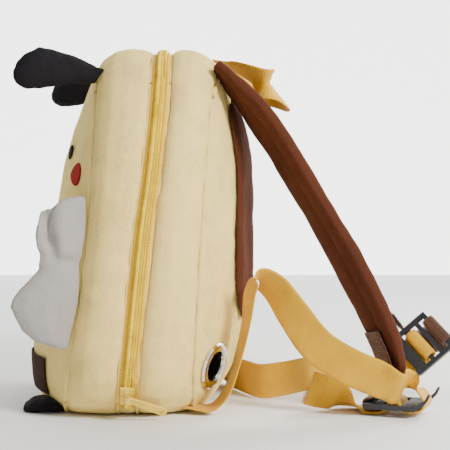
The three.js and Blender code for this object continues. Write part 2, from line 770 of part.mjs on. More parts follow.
// A shoulder strap's middle line, from its root in the back seam to its tip. Face is the width's direction.
const strapTables = {
  right: [
    { at: point(42, 60, 240), face: [1, 0.1, 0], wide: 0.72, thick: 0.6 },
    { at: point(43, 74, 224), face: [1, 0.18, 0.1], wide: 0.86, thick: 0.85 },
    { at: point(46, 89, 206), face: [1, 0.26, 0.15], wide: 1 },
    { at: point(49, 105, 182), face: [1, 0.26, 0.15], wide: 1 },
    { at: point(53, 121, 155), face: [1, 0.26, 0.15], wide: 1 },
    { at: point(57, 139, 124), face: [1, 0.28, 0.16], wide: 1 },
    { at: point(60, 154, 97), face: [1, 0.3, 0.17], wide: 1 },
    { at: point(63, 167, 71), face: [1, 0.3, 0.15], wide: 0.98 },
    { at: point(65, 177, 48), face: [1, 0.3, 0.1], wide: 0.9, thick: 0.9 },
    { at: point(66, 182, 32), face: [1, 0.3, 0.05], wide: 0.66, thick: 0.7 },
    { at: point(66, 184, 22), face: [1, 0.3, 0], wide: 0.4, thick: 0.45 },
  ],
  left: [
    { at: point(-42, 60, 240), face: [1, -0.1, 0], wide: 0.72, thick: 0.6 },
    { at: point(-43, 74, 225), face: [1, -0.14, 0], wide: 0.86, thick: 0.85 },
    { at: point(-44, 91, 208), face: [1, -0.18, -0.08], wide: 1 },
    { at: point(-46, 108, 185), face: [1, -0.18, -0.1], wide: 1 },
    { at: point(-48, 128, 155), face: [1, -0.18, -0.1], wide: 1 },
    { at: point(-50, 149, 121), face: [1, -0.18, -0.1], wide: 1 },
    { at: point(-54, 166, 95), face: [1, -0.16, -0.08], wide: 1 },
    { at: point(-59, 181, 70), face: [1, -0.12, -0.05], wide: 0.98 },
    { at: point(-63, 192, 52), face: [1, -0.1, 0], wide: 0.86, thick: 0.8 },
    { at: point(-65, 199, 41), face: [1, -0.1, 0], wide: 0.66, thick: 0.6 },
    { at: point(-66, 203, 34), face: [1, -0.1, 0], wide: 0.4, thick: 0.4 },
  ],
};
const STRAP_STEPS = 18;
const strap = (rows) => trimmed(band(rows, STRAP_WIDTH, STRAP_THICK, paddedSection, STRAP_STEPS));

// The grab handle: a loop of webbing sewn in the back seam between the straps.
const HANDLE_STEPS = 18;
function grabHandle() {
  const right = [
    { at: point(12, 60, 246), face: [1, 0, 0] },
    { at: point(16, 72, 242), face: [0.9, -0.2, 0.2] },
    { at: point(26, 86, 235), face: [0.45, -0.5, 0.65] },
    { at: point(26, 97, 228), face: [0.1, -0.6, 0.8] },
    { at: point(14, 104, 223), face: [0, -0.62, 0.78] },
  ];
  const rows = [
    ...right,
    { at: point(0, 106, 222), face: [0, -0.62, 0.78] },
    ...right.toReversed().map((row) => ({
      at: row.at.clone().setX(-row.at.x),
      face: [-row.face[0], row.face[1], row.face[2]],
    })),
  ];
  return trimmed(band(rows, WEBBING_WIDTH, WEBBING_THICK, flatSection, HANDLE_STEPS));
}

// A ladder-lock buckle in its own frame: X along the bars, +Y towards the claws, Z out of its face.
const slotWidth = BUCKLE_WIDTH - 2 * BUCKLE_BAR;
const barPitch = BUCKLE_BAR + BUCKLE_SLOT;
const CLAW_STEPS = 5;
function buckle() {
  const back = -2 * barPitch - BUCKLE_BAR / 2;
  const front = barPitch - BUCKLE_BAR / 2 + BUCKLE_LIP;
  const half = BUCKLE_WIDTH / 2;
  const frame = new THREE.Shape([
    new THREE.Vector2(-half, back),
    new THREE.Vector2(half, back),
    new THREE.Vector2(half, front),
    new THREE.Vector2(-half, front),
  ]);
  [-2, -1, 0].forEach((place) => {
    const low = place * barPitch + BUCKLE_BAR / 2;
    const slot = [
      new THREE.Vector2(-slotWidth / 2, low),
      new THREE.Vector2(-slotWidth / 2, low + BUCKLE_SLOT),
      new THREE.Vector2(slotWidth / 2, low + BUCKLE_SLOT),
      new THREE.Vector2(slotWidth / 2, low),
    ];
    frame.holes.push(new THREE.Path(slot));
  });
  const plate = new THREE.ExtrudeGeometry(frame, { depth: BUCKLE_THICK, bevelEnabled: false });
  return joined(plate, claw(front, 1), claw(front, -1));
}

// One of the two curled horns at the end of a buckle's lip.
function claw(front, side) {
  const middle = side * (BUCKLE_WIDTH / 2 - CLAW_WIDTH / 2);
  const loops = Array.from({ length: CLAW_STEPS }, (_, i) => {
    const share = i / (CLAW_STEPS - 1);
    const turn = (share * Math.PI) / 2.6;
    const y = front - BUCKLE_THICK + 1.4 * CLAW_RISE * Math.sin(turn);
    const z = BUCKLE_THICK / 2 + 1.6 * CLAW_RISE * (1 - Math.cos(turn));
    const half = (CLAW_WIDTH / 2) * (1 - 0.45 * share);
    const thick = (BUCKLE_THICK / 2) * (0.98 - 0.45 * share);
    const up = point(0, -Math.sin(turn) * 0.8, Math.cos(turn));
    return flatSection.map((c) => point(middle + c.x * half, y, z).addScaledVector(up, c.y * thick));
  });
  return loft(loops);
}

// Where each buckle lies: the right one on the floor, the left one hanging tilted from its strap.
const buckleFrames = {
  right: new THREE.Matrix4()
    .makeBasis(point(0.93, -0.37, 0), point(0.37, 0.93, 0), point(0, 0, 1))
    .setPosition(67, 184, 5.2),
  left: new THREE.Matrix4()
    .makeBasis(point(-0.55, -0.54, 0.63), point(0.02, -0.76, -0.65), point(0.83, -0.36, 0.42))
    .setPosition(-38, 218, 33),
};
Object.values(buckleFrames).forEach(squared);

// Makes a frame's three directions exactly square to each other.
function squared(matrix) {
  const [x, y, z] = [point(), point(), point()];
  matrix.extractBasis(x, y, z);
  const middle = point().setFromMatrixPosition(matrix);
  y.normalize();
  x.addScaledVector(y, -x.dot(y)).normalize();
  z.crossVectors(x, y);
  matrix.makeBasis(x, y, z).setPosition(middle);
}

// Rows of a band written in a buckle's own frame.
const inFrame = (matrix, rows) => {
  const turn = new THREE.Quaternion().setFromRotationMatrix(matrix);
  return rows.map((row) => ({
    ...row,
    at: row.at.clone().applyMatrix4(matrix),
    face: point(...row.face).applyQuaternion(turn).toArray(),
  }));
};

// The ladder path: up through one slot, over the middle bar and down through the next slot.
const ridge = BUCKLE_THICK + GAP + WEBBING_THICK / 2 + 0.4;
const keel = -(GAP + WEBBING_THICK / 2 + 0.3);
const layer = WEBBING_THICK + 0.8;
const slotMiddle = barPitch / 2;
const lipFront = barPitch - BUCKLE_BAR / 2 + BUCKLE_LIP;
const flat = [1, 0, 0];
const ladderRows = [
  { at: point(0, slotMiddle + 2.2, keel), face: flat },
  { at: point(0, slotMiddle, BUCKLE_THICK / 2), face: flat },
  { at: point(0, slotMiddle - 1.6, ridge), face: flat },
  { at: point(0, -slotMiddle + 1.6, ridge), face: flat },
  { at: point(0, -slotMiddle, BUCKLE_THICK / 2), face: flat },
];
const rightLadder = [
  { at: point(5, 8, 15), face: [0.9, 0, 0.4] },
  { at: point(1, 18, 9.5), face: flat },
  { at: point(0, lipFront + 5, 3.4), face: flat },
  { at: point(0, lipFront + 2.2, -0.6), face: flat },
  { at: point(0, lipFront - 3, keel), face: flat },
  ...ladderRows,
  { at: point(0, -slotMiddle - 2.4, keel - 0.6), face: flat },
  { at: point(0, -2 * barPitch + 4, keel - layer), face: flat },
  { at: point(0, -2 * barPitch - 5, keel - layer), face: flat },
];
const leftLadder = [
  { at: point(0, lipFront + 10, keel - layer - 2), face: flat },
  { at: point(0, lipFront - 2, keel - layer), face: flat },
  { at: point(0, 2, keel - layer), face: flat },
  { at: point(0, -slotMiddle + 1, keel - 1), face: flat },
  ...ladderRows.toReversed(),
  { at: point(0, lipFront - 1, keel), face: flat },
  { at: point(0, lipFront + 8, keel + 1.5), face: flat },
];

// Lower webbing, from the back seam's lower corner to the buckle and on to its free tail.
const webbingTables = {
  right: [
    { at: point(62, 38, 5), face: flat },
    { at: point(65, 56, 4), face: [1, 0.1, 0] },
    { at: point(67, 66, 14), face: [1, 0.15, 0] },
    { at: point(68, 73, 33), face: [1, 0.15, 0] },
    { at: point(68, 80, 62), face: [1, 0.2, 0] },
    { at: point(68, 83, 84), face: [1, 0.35, 0.2] },
    { at: point(68, 88, 93), face: [0.9, 0.5, 0.5] },
    { at: point(69, 99, 87), face: [0.7, 0.5, 0.7] },
    { at: point(72, 112, 69), face: [0.4, 0.55, 0.85] },
    { at: point(77, 128, 48), face: [0.1, 0.55, 0.85] },
    { at: point(84, 149, 35), face: [0, 0.4, 0.9] },
    { at: point(88, 168, 27), face: [0.1, 0.3, 0.9] },
    { at: point(88, 180, 21), face: [0.5, 0, 0.7] },
    ...inFrame(buckleFrames.right, rightLadder),
    { at: point(58, 153, 4.8), face: [0.9, -0.2, 0.35] },
    { at: point(59, 144, 10), face: [0.5, 0, 0.85] },
    { at: point(61, 134, 14), face: [0.25, 0.1, 0.95] },
    { at: point(62, 124, 17), face: [0.2, 0.15, 0.95] },
  ],
  left: [
    { at: point(-58, 38, 6), face: flat },
    { at: point(-50, 58, 10.2), face: [0.8, 0, 0.5] },
    { at: point(-34, 70, 13), face: [0.1, 0, 1] },
    { at: point(-6, 82, 13.5), face: [0, 0, 1] },
    { at: point(16, 93, 14), face: [0, 0, 1] },
    { at: point(17, 108, 16), face: [0, 0, 1] },
    { at: point(4, 124, 17), face: [0, 0, 1] },
    { at: point(-14, 142, 16), face: [0, 0, 1] },
    { at: point(-30, 162, 14), face: [-0.1, -0.1, 1] },
    { at: point(-38, 182, 12), face: [-0.35, -0.35, 0.8] },
    ...inFrame(buckleFrames.left, leftLadder),
    { at: point(-36, 188, 7.6), face: [-0.55, -0.5, 0.5] },
  ],
};
const WEBBING_STEPS = { right: 78, left: 58 };
const webbing = (side) =>
  trimmed(band(webbingTables[side], WEBBING_WIDTH, WEBBING_THICK, flatSection, WEBBING_STEPS[side]));

// The brown tab between a strap's tip and its buckle goes round the buckle's end bar.
const endBar = -2 * barPitch;
const over = ridge - BUCKLE_THICK / 2;
const wrapRows = (from) =>
  [
    { y: endBar + 0.5, z: over + 0.7 },
    { y: endBar - BUCKLE_BAR / 2 - 1.2, z: over },
    { y: endBar - BUCKLE_BAR / 2 - 2.4, z: 0 },
    { y: endBar - BUCKLE_BAR / 2 - 1.2, z: -over },
    { y: endBar + 0.5, z: -over - 0.4 },
    { y: endBar + BUCKLE_BAR / 2 + 1.6, z: -over + 0.2 },
    { y: endBar + BUCKLE_BAR / 2 + 2.6, z: 0 },
  ].map((row) => ({ at: point(0, row.y, BUCKLE_THICK / 2 + from * row.z), face: flat }));
const tabTables = {
  right: [
    { at: point(66.2, 165.9, 56), face: [1, 0.3, 0.12] },
    { at: point(67.1, 171, 44.6), face: [1, 0.3, 0.1] },
    { at: point(67.7, 175.9, 30), face: [1, 0.3, 0.05] },
    { at: point(67.4, 177.4, 20), face: [1, 0.1, 0] },
    ...inFrame(buckleFrames.right, [{ at: point(0, -10.5, 9), face: flat }, ...wrapRows(1)]),
  ],
  left: [
    { at: point(-64, 199, 55), face: [1, 0, 0] },
    { at: point(-64, 206, 45), face: [1, 0.1, 0] },
    { at: point(-60, 214, 40), face: [0.8, 0.3, -0.2] },
    ...inFrame(buckleFrames.left, [{ at: point(0, endBar + 2, -9), face: [-1, 0, 0] }]),
    ...inFrame(buckleFrames.left, wrapRows(-1).map((row) => ({ ...row, face: [-1, 0, 0] }))),
  ],
};
const TAB_STEPS = 32;
const tab = (side) => band(tabTables[side], WEBBING_WIDTH - 1, WEBBING_THICK, flatSection, TAB_STEPS);

// The slider's frame at rest on the coil: X across the zip, Y up along it, Z out of the bag.
const coilTop = ZIP_INSET + TAPE_RECESS - GAP - COIL_HEIGHT;
function sliderFrame() {
  const z = HEIGHT * SLIDER_HEIGHT_SHARE;
  const turn = Math.asin((BASE_CORNER - z) / BASE_CORNER);
  const middle = HALF_WIDTH - coilTop - BASE_CORNER;
  const at = point(middle + BASE_CORNER * Math.cos(turn), zipY(z), z);
  const up = point(Math.sin(turn), (zipY(z + 1) - zipY(z)) * Math.cos(turn), Math.cos(turn)).normalize();
  const out = point(Math.cos(turn), 0, -Math.sin(turn));
  out.addScaledVector(up, -out.dot(up)).normalize();
  const across = point().crossVectors(up, out);
  return new THREE.Matrix4().makeBasis(across, up, out).setPosition(at.addScaledVector(out, GAP));
}
const zipFrame = sliderFrame();

const box = (width, length, height, x, y, z) =>
  new THREE.BoxGeometry(width, length, height).deleteAttribute("uv").translate(x, y, z);

// The slider: a plate over the coil, a cheek down each side of it and a bridge for the pull.
const CHEEK_CLEAR = 0.4;
const bridgeMiddle = SLIDER_HEIGHT + BRIDGE_HEIGHT - BRIDGE_WIRE / 2;
function slider() {
  const side = (SLIDER_WIDTH - COIL_WIDTH) / 2 - CHEEK_CLEAR;
  const cheekX = SLIDER_WIDTH / 2 - side / 2;
  const foot = SLIDER_LENGTH / 2 - BRIDGE_WIDTH / 2;
  const post = SLIDER_HEIGHT + BRIDGE_HEIGHT;
  const drop = COIL_HEIGHT * 0.6;
  return joined(
    box(SLIDER_WIDTH, SLIDER_LENGTH, SLIDER_HEIGHT, 0, 0, SLIDER_HEIGHT / 2),
    box(side, SLIDER_LENGTH * 0.8, drop + 1, cheekX, 0, (1 - drop) / 2),
    box(side, SLIDER_LENGTH * 0.8, drop + 1, -cheekX, 0, (1 - drop) / 2),
    box(BRIDGE_WIDTH, BRIDGE_WIDTH, post - 0.5, 0, foot, (post + 0.5) / 2),
    box(BRIDGE_WIDTH, BRIDGE_WIDTH, post - 0.5, 0, -foot, (post + 0.5) / 2),
    box(BRIDGE_WIRE, SLIDER_LENGTH - BRIDGE_WIDTH, BRIDGE_WIRE, 0, 0, bridgeMiddle),
  ).applyMatrix4(zipFrame);
}

// The pull: a flat tongue with a hole near its end, and an eye rolled round the bridge.
const EYE_CLEAR = 0.35;
const EYE_WALL = 0.8;
const EYE_SIDES = 12;
function pull() {
  const inner = (BRIDGE_WIRE / 2) * Math.SQRT2 + EYE_CLEAR;
  const outer = inner + EYE_WALL;
  const eyeLength = PULL_WIDTH * 0.8;
  const ringShape = new THREE.Shape(roundPoints(EYE_SIDES, (a) => around(outer, a)));
  ringShape.holes.push(new THREE.Path(roundPoints(EYE_SIDES, (a) => around(inner, -a))));
  const eyeRing = new THREE.ExtrudeGeometry(ringShape, { depth: eyeLength, bevelEnabled: false })
    .translate(0, 0, -eyeLength / 2)
    .rotateX(Math.PI / 2)
    .translate(0, 0, bridgeMiddle);
  const half = PULL_WIDTH / 2;
  const tongue = new THREE.Shape();
  tongue.moveTo(0, -half * 0.7);
  tongue.lineTo(PULL_LENGTH - half, -half);
  tongue.absarc(PULL_LENGTH - half, 0, half, -Math.PI / 2, Math.PI / 2, false);
  tongue.lineTo(0, half * 0.7);
  const hole = new THREE.Path();
  hole.absarc(PULL_LENGTH - PULL_WIDTH * 0.65, 0, half * 0.45, 0, 2 * Math.PI, true);
  tongue.holes.push(hole);
  const plate = new THREE.ExtrudeGeometry(tongue, { depth: PULL_THICK, bevelEnabled: false, curveSegments: 8 })
    .rotateZ(THREE.MathUtils.degToRad(PULL_DROOP))
    .translate(inner + EYE_WALL * 0.4, 0, bridgeMiddle - PULL_THICK / 2);
  return joined(eyeRing, plate).applyMatrix4(zipFrame);
}
function around(radius, turn) {
  return new THREE.Vector2(radius * Math.cos(turn), radius * Math.sin(turn));
}

// The assembly.
const bag = new THREE.Group();
function add(name, geometry, finish) {
  const { color, roughness, metalness } = FINISH[finish];
  const material = new THREE.MeshStandardMaterial({ color, roughness, metalness });
  const mesh = new THREE.Mesh(geometry, material);
  mesh.name = name;
  bag.add(mesh);
}
function addPair(name, geometry, finish, seat = (piece) => piece) {
  add(name + "_right", seat(geometry), finish);
  add(name + "_left", seat(mirrored(geometry)), finish);
}

add("face_panel", domedPanel(panelTable.face), "plush");
add("front_gusset", gusset(frontGussetTable.map((row) => frontRow(row, 0))), "plush");
add("back_gusset", gusset(backGussetTable.map((row) => backRow(row, 0))), "plush");
add("back_panel", cut(domedPanel(panelTable.back), portCutter()), "plush");
add("bottom_strip", bottomStrip(), "plush");
add("zip_tape", zipTape(), "zip");
add("zip_coil", zipCoil(), "zip");
add("zip_slider", slider(), "zip");
add("zip_pull", pull(), "zip");
add("tube_port_ring", portRing(), "chrome");
add("back_pad", backPad(), "brown");
add("belly_stripe", bellyStripe(), "belly");
addPair("eye", eye(), "black");
addPair("cheek", cheek(), "red");
addPair("foot", foot(), "black", trimmed);
addPair("wing", wing(), "wing", trimmed);
addPair("antenna", antenna(), "black", trimmed);
add("grab_handle", grabHandle(), "webbing");
["right", "left"].forEach((side) => {
  add("shoulder_strap_" + side, strap(strapTables[side]), "brown");
  add("strap_tab_" + side, tab(side), "tab");
  add("buckle_" + side, buckle().applyMatrix4(buckleFrames[side]), "buckle");
  add("webbing_" + side, webbing(side), "webbing");
});

export default bag;
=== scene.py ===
# Dresses the plush bee backpack: fabric, zip, webbing, buckles, light and camera, in metres.
import math
import bmesh
import bpy
from mathutils import Matrix, Vector, noise
from mathutils.bvhtree import BVHTree


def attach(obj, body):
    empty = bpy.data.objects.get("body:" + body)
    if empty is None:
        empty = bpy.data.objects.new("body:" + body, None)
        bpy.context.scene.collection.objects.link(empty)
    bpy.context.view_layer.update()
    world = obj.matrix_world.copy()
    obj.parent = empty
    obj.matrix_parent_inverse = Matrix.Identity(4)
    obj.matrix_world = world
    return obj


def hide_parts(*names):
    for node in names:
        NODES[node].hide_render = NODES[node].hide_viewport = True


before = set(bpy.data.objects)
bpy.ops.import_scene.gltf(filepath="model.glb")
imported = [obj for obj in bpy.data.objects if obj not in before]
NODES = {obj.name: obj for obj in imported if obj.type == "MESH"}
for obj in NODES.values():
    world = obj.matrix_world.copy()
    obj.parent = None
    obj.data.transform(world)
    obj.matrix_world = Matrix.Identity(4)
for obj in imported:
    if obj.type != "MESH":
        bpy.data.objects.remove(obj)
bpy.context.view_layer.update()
MM = 0.001
BAG = "bag"

# Sizes of the bag's outline that the zip follows, as in the model.
HEIGHT = 0.257
HALF_WIDTH = 0.103
DEPTH = 0.080
BASE_CORNER = 0.038
ARCH_HEIGHT = 0.112
ARCH_POWER = 2.25
FRONT_SEAM_INSET = 0.012
BACK_SEAM_INSET = 0.017
ZIP_INSET = 0.003
TAPE_WIDTH = 0.013
TAPE_RECESS = 0.001
COIL_WIDTH = 0.0064
COIL_HEIGHT = 0.0024
TOOTH_PITCH = 0.0013

# Where the front seam, the zip and the back seam lie at each height, as shares of depth and height.
SEAMS = [
    {"height": 0.0, "front": -0.55, "zip": -0.012, "back": 0.538},
    {"height": 0.18, "front": -0.46, "zip": 0.046, "back": 0.577},
    {"height": 0.49, "front": -0.335, "zip": 0.15, "back": 0.627},
    {"height": 0.66, "front": -0.298, "zip": 0.225, "back": 0.671},
    {"height": 0.84, "front": -0.284, "zip": 0.27, "back": 0.715},
    {"height": 1.0, "front": -0.325, "zip": 0.262, "back": 0.84},
]


# A smooth curve through one column of the seam table.
def seam_y(column, z):
    at = min(max(z / HEIGHT, 0.0), 1.0)
    last = len(SEAMS) - 1
    i = max(k for k in range(last) if SEAMS[k]["height"] <= at)
    low, high = SEAMS[i], SEAMS[i + 1]

    def slope(k):
        a, b = SEAMS[max(k - 1, 0)], SEAMS[min(k + 1, last)]
        return (b[column] - a[column]) / (b["height"] - a["height"])

    span = high["height"] - low["height"]
    t = (at - low["height"]) / span
    value = low[column] * (1 + 2 * t) * (1 - t) ** 2 + high[column] * t * t * (3 - 2 * t)
    bend = slope(i) * t * (1 - t) ** 2 - slope(i + 1) * t * t * (1 - t)
    return DEPTH * (value + bend * span)


# A point of the bag's outline: stage and share run from the middle of the base up to the top.
def outline_point(stage, share, inset):
    half = HALF_WIDTH - inset
    arch_foot = HEIGHT - ARCH_HEIGHT
    turn = share * math.pi / 2
    if stage == "base":
        return share * (half - BASE_CORNER), 0.0
    if stage == "corner":
        return half - BASE_CORNER + BASE_CORNER * math.sin(turn), BASE_CORNER * (1 - math.cos(turn))
    if stage == "side":
        return half, BASE_CORNER + share * (arch_foot - BASE_CORNER)
    power = 2 / ARCH_POWER
    return (
        half * max(math.cos(turn), 0.0) ** power,
        arch_foot + (ARCH_HEIGHT - inset) * math.sin(turn) ** power,
    )


# The closed outline at an inset as evenly spaced points, from the middle of the base round by the right side.
def outline(inset, step):
    half = []
    for stage, count in (("base", 8), ("corner", 40), ("side", 30), ("arch", 160)):
        half += [outline_point(stage, k / count, inset) for k in range(count)]
    half.append((0.0, HEIGHT - inset))
    loop = half + [(-x, z) for x, z in reversed(half[1:-1])]
    loop.append(loop[0])
    points = [Vector((loop[0][0], 0, loop[0][1]))]
    left = step
    for (x0, z0), (x1, z1) in zip(loop, loop[1:]):
        a, b = Vector((x0, 0, z0)), Vector((x1, 0, z1))
        run = (b - a).length
        while left <= run:
            points.append(a.lerp(b, left / run))
            left += step
        left -= run
    return points


# The stretch of the outline that the zip covers, with the way out of the bag at each point.
ZIP_END_HEIGHT = 0.0073


def zip_path(inset, step):
    points = outline(inset, step)
    rows = []
    for i in range(1, len(points) - 1):
        p = points[i]
        if p.z < ZIP_END_HEIGHT:
            continue
        along = (points[i + 1] - points[i - 1]).normalized()
        out = Vector((along.z, 0, -along.x))
        rows.append({"at": Vector((p.x, seam_y("zip", p.z), p.z)), "out": out, "along": along})
    return rows


# A node tree with short calls for the few kinds of node that the materials use.
class Tree:
    def __init__(self, name):
        self.material = bpy.data.materials.new(name)
        self.material.use_nodes = True
        self.nodes = self.material.node_tree.nodes
        self.links = self.material.node_tree.links
        self.shader = self.nodes["Principled BSDF"]
        self.place = self.nodes.new("ShaderNodeTexCoord").outputs["Object"]

    def link(self, out, into):
        self.links.new(out, into)
        return into

    def noise(self, scale, detail=2.0, rough=0.5, place=None):
        node = self.nodes.new("ShaderNodeTexNoise")
        node.inputs["Scale"].default_value = scale
        node.inputs["Detail"].default_value = detail
        node.inputs["Roughness"].default_value = rough
        self.link(place or self.place, node.inputs["Vector"])
        return node.outputs["Fac"]

    def stretched(self, scale, place=None):
        node = self.nodes.new("ShaderNodeMapping")
        node.inputs["Scale"].default_value = scale
        self.link(place or self.place, node.inputs["Vector"])
        return node.outputs["Vector"]

    def wave(self, scale, direction, place, distortion=0.0):
        node = self.nodes.new("ShaderNodeTexWave")
        node.bands_direction = direction
        node.inputs["Scale"].default_value = scale
        node.inputs["Distortion"].default_value = distortion
        self.link(place, node.inputs["Vector"])
        return node.outputs["Fac"]

    def ramp(self, value, stops):
        node = self.nodes.new("ShaderNodeValToRGB")
        while len(node.color_ramp.elements) < len(stops):
            node.color_ramp.elements.new(0.5)
        for element, (at, colour) in zip(node.color_ramp.elements, stops):
            element.position = at
            element.color = (*colour, 1)
        self.link(value, node.inputs["Fac"])
        return node.outputs["Color"]

    def math(self, kind, a, b):
        node = self.nodes.new("ShaderNodeMath")
        node.operation = kind
        for socket, value in zip(node.inputs, (a, b)):
            if isinstance(value, (int, float)):
                socket.default_value = value
            else:
                self.link(value, socket)
        return node.outputs["Value"]

    def bump(self, value, strength, distance, under=None):
        node = self.nodes.new("ShaderNodeBump")
        node.inputs["Strength"].default_value = strength
        node.inputs["Distance"].default_value = distance
        self.link(value, node.inputs["Height"])
        if under:
            self.link(under, node.inputs["Normal"])
        return node.outputs["Normal"]

    def set(self, **values):
        for name, value in values.items():
            self.shader.inputs[name.replace("_", " ")].default_value = value


# An sRGB colour given as 0 to 255, as linear light.
def srgb(red, green, blue):
    def linear(v):
        v /= 255
        return v / 12.92 if v <= 0.04045 else ((v + 0.055) / 1.055) ** 2.4

    return tuple(linear(v) for v in (red, green, blue))


def tinted(colour, share):
    return tuple(min(c * share, 1.0) for c in colour)


# Short-pile plush: brushed patches, fine fibres and a soft sheen.
def plush(name, colour, sheen=0.3, contrast=0.2, depth=0.0008):
    tree = Tree(name)
    patches = tree.noise(34, 6, 0.72)
    fibres = tree.noise(1500, 3, 0.7, tree.stretched((1.0, 1.0, 0.45)))
    tufts = tree.noise(420, 2, 0.6)
    mixed = tree.math("ADD", tree.math("MULTIPLY", patches, 0.55), tree.math("MULTIPLY", fibres, 0.45))
    stops = [
        (0.3, tinted(colour, 1 - 1.6 * contrast)),
        (0.5, colour),
        (0.72, tinted(colour, 1 + 0.6 * contrast)),
    ]
    tree.link(tree.ramp(mixed, stops), tree.shader.inputs["Base Color"])
    soft = tree.bump(tufts, 0.5, depth)
    tree.link(tree.bump(fibres, 0.7, depth * 0.6, soft), tree.shader.inputs["Normal"])
    tree.set(Roughness=0.95, Sheen_Weight=sheen, Sheen_Roughness=0.45, Specular_IOR_Level=0.15)
    tree.shader.inputs["Sheen Tint"].default_value = (*tinted(colour, 1.3), 1)
    return tree.material


# Ribbed webbing: its UV runs along the band in U and across it in V, both in metres.
def webbing(name, colour, rib=0.0021, cord=0.0016):
    tree = Tree(name)
    uv = tree.nodes.new("ShaderNodeTexCoord").outputs["UV"]
    ribs = tree.wave(1 / (rib * 6.2832) * 3.1416, "X", uv)
    cords = tree.wave(1 / (cord * 6.2832) * 3.1416, "Y", uv)
    threads = tree.noise(2600, 2, 0.6)
    weave = tree.math("MULTIPLY", ribs, cords)
    worn = tree.noise(60, 3, 0.5)
    tone = tree.math("ADD", tree.math("MULTIPLY", weave, 0.6), tree.math("MULTIPLY", worn, 0.4))
    stops = [(0.1, tinted(colour, 0.62)), (0.42, colour), (0.8, tinted(colour, 1.22))]
    tree.link(tree.ramp(tone, stops), tree.shader.inputs["Base Color"])
    woven = tree.bump(weave, 0.8, 0.0005)
    tree.link(tree.bump(threads, 0.35, 0.0002, woven), tree.shader.inputs["Normal"])
    tree.set(Roughness=0.72, Sheen_Weight=0.15, Specular_IOR_Level=0.3)
    return tree.material


# Woven zip tape, with fine ribs across it.
def tape_cloth():
    tree = Tree("zip_tape_cloth")
    colour = srgb(240, 196, 20)
    ribs = tree.noise(2200, 2, 0.6, tree.stretched((1.0, 0.25, 1.0)))
    tree.link(
        tree.ramp(ribs, [(0.3, tinted(colour, 0.75)), (0.7, tinted(colour, 1.12))]),
        tree.shader.inputs["Base Color"],
    )
    tree.link(tree.bump(ribs, 0.6, 0.0003), tree.shader.inputs["Normal"])
    tree.set(Roughness=0.8, Sheen_Weight=0.1)
    return tree.material


# Moulded nylon, painted metal, satin plastic and chrome share one recipe of grain and wear.
def hard(name, colour, roughness, metallic=0.0, grain=0.00005, coat=0.0):
    tree = Tree(name)
    haze = tree.noise(90, 3, 0.6)
    speck = tree.noise(1400, 2, 0.5)
    tree.link(
        tree.ramp(haze, [(0.35, tinted(colour, 0.85)), (0.65, tinted(colour, 1.12))]),
        tree.shader.inputs["Base Color"],
    )
    rough = tree.math("ADD", tree.math("MULTIPLY", haze, 0.16), roughness - 0.08)
    tree.link(rough, tree.shader.inputs["Roughness"])
    tree.link(tree.bump(speck, 0.3, grain), tree.shader.inputs["Normal"])
    tree.set(Metallic=metallic, Coat_Weight=coat)
    return tree.material


CREAM = srgb(242, 214, 130)
MATERIALS = {
    "plush": plush("pale_yellow_plush", CREAM),
    "brown_plush": plush("brown_plush", srgb(80, 42, 26), sheen=0.35, contrast=0.25),
    "belly_plush": plush("dark_brown_plush", srgb(52, 30, 16), sheen=0.3, contrast=0.2),
    "black_plush": plush("black_plush", srgb(24, 22, 25), sheen=0.25, contrast=0.25),
    "red_plush": plush("red_plush", srgb(150, 22, 18), sheen=0.2),
    "wing_plush": plush("grey_plush", srgb(162, 157, 152), sheen=0.3, contrast=0.12),
    "yellow_webbing": webbing("yellow_webbing", srgb(234, 176, 16)),
    "brown_webbing": webbing("brown_webbing", srgb(88, 54, 36), rib=0.0024, cord=0.0013),
    "zip_tape": tape_cloth(),
    "zip": hard("zip_nylon", srgb(250, 206, 20), 0.45, grain=0.00008),
    "zip_metal": hard("zip_metal", srgb(240, 204, 72), 0.4, coat=0.3),
    "buckle": hard("buckle_plastic", srgb(38, 40, 44), 0.42, grain=0.00012),
    "chrome": hard("chrome", (0.78, 0.78, 0.8), 0.16, metallic=1.0, grain=0.00002),
    "thread": hard("sewing_thread", srgb(222, 196, 130), 0.7),
    "brown_thread": hard("brown_thread", srgb(74, 44, 28), 0.7),
}


# A new mesh object from a bmesh or mesh, linked to the scene and finished with a material.
def piece(name, mesh, material, smooth=True):
    if isinstance(mesh, bmesh.types.BMesh):
        made = bpy.data.meshes.new(name)
        mesh.to_mesh(made)
        mesh.free()
        mesh = made
    obj = bpy.data.objects.new(name, mesh)
    bpy.context.scene.collection.objects.link(obj)
    obj.data.materials.clear()
    obj.data.materials.append(MATERIALS[material])
    for face in obj.data.polygons:
        face.use_smooth = smooth
    return obj


# Applies the modifiers that an object holds to its mesh.
def applied(obj):
    bpy.context.view_layer.update()
    graph = bpy.context.evaluated_depsgraph_get()
    mesh = bpy.data.meshes.new_from_object(obj.evaluated_get(graph))
    obj.modifiers.clear()
    obj.data = mesh
    for face in obj.data.polygons:
        face.use_smooth = True
    return obj


def placed(obj, node, body=BAG, nodes=None):
    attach(obj, body)
    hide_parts(*(nodes or [node]))
    return obj


# A soft copy of a node: remeshed to even quads, smoothed, then shaped by a function of each point.
def soft_copy(node, material, voxel, smooth, shape=None, name=None):
    obj = piece(name or node + "_cloth", NODES[node].data.copy(), material)
    remesh = obj.modifiers.new("even", "REMESH")
    remesh.mode = "VOXEL"
    remesh.voxel_size = voxel
    ease = obj.modifiers.new("ease", "SMOOTH")
    ease.factor = 0.5
    ease.iterations = smooth
    applied(obj)
    if shape:
        normals = [v.normal.copy() for v in obj.data.vertices]
        for vertex, normal in zip(obj.data.vertices, normals):
            vertex.co = shape(vertex.co.copy(), normal)
    obj.data.update()
    return placed(obj, node)


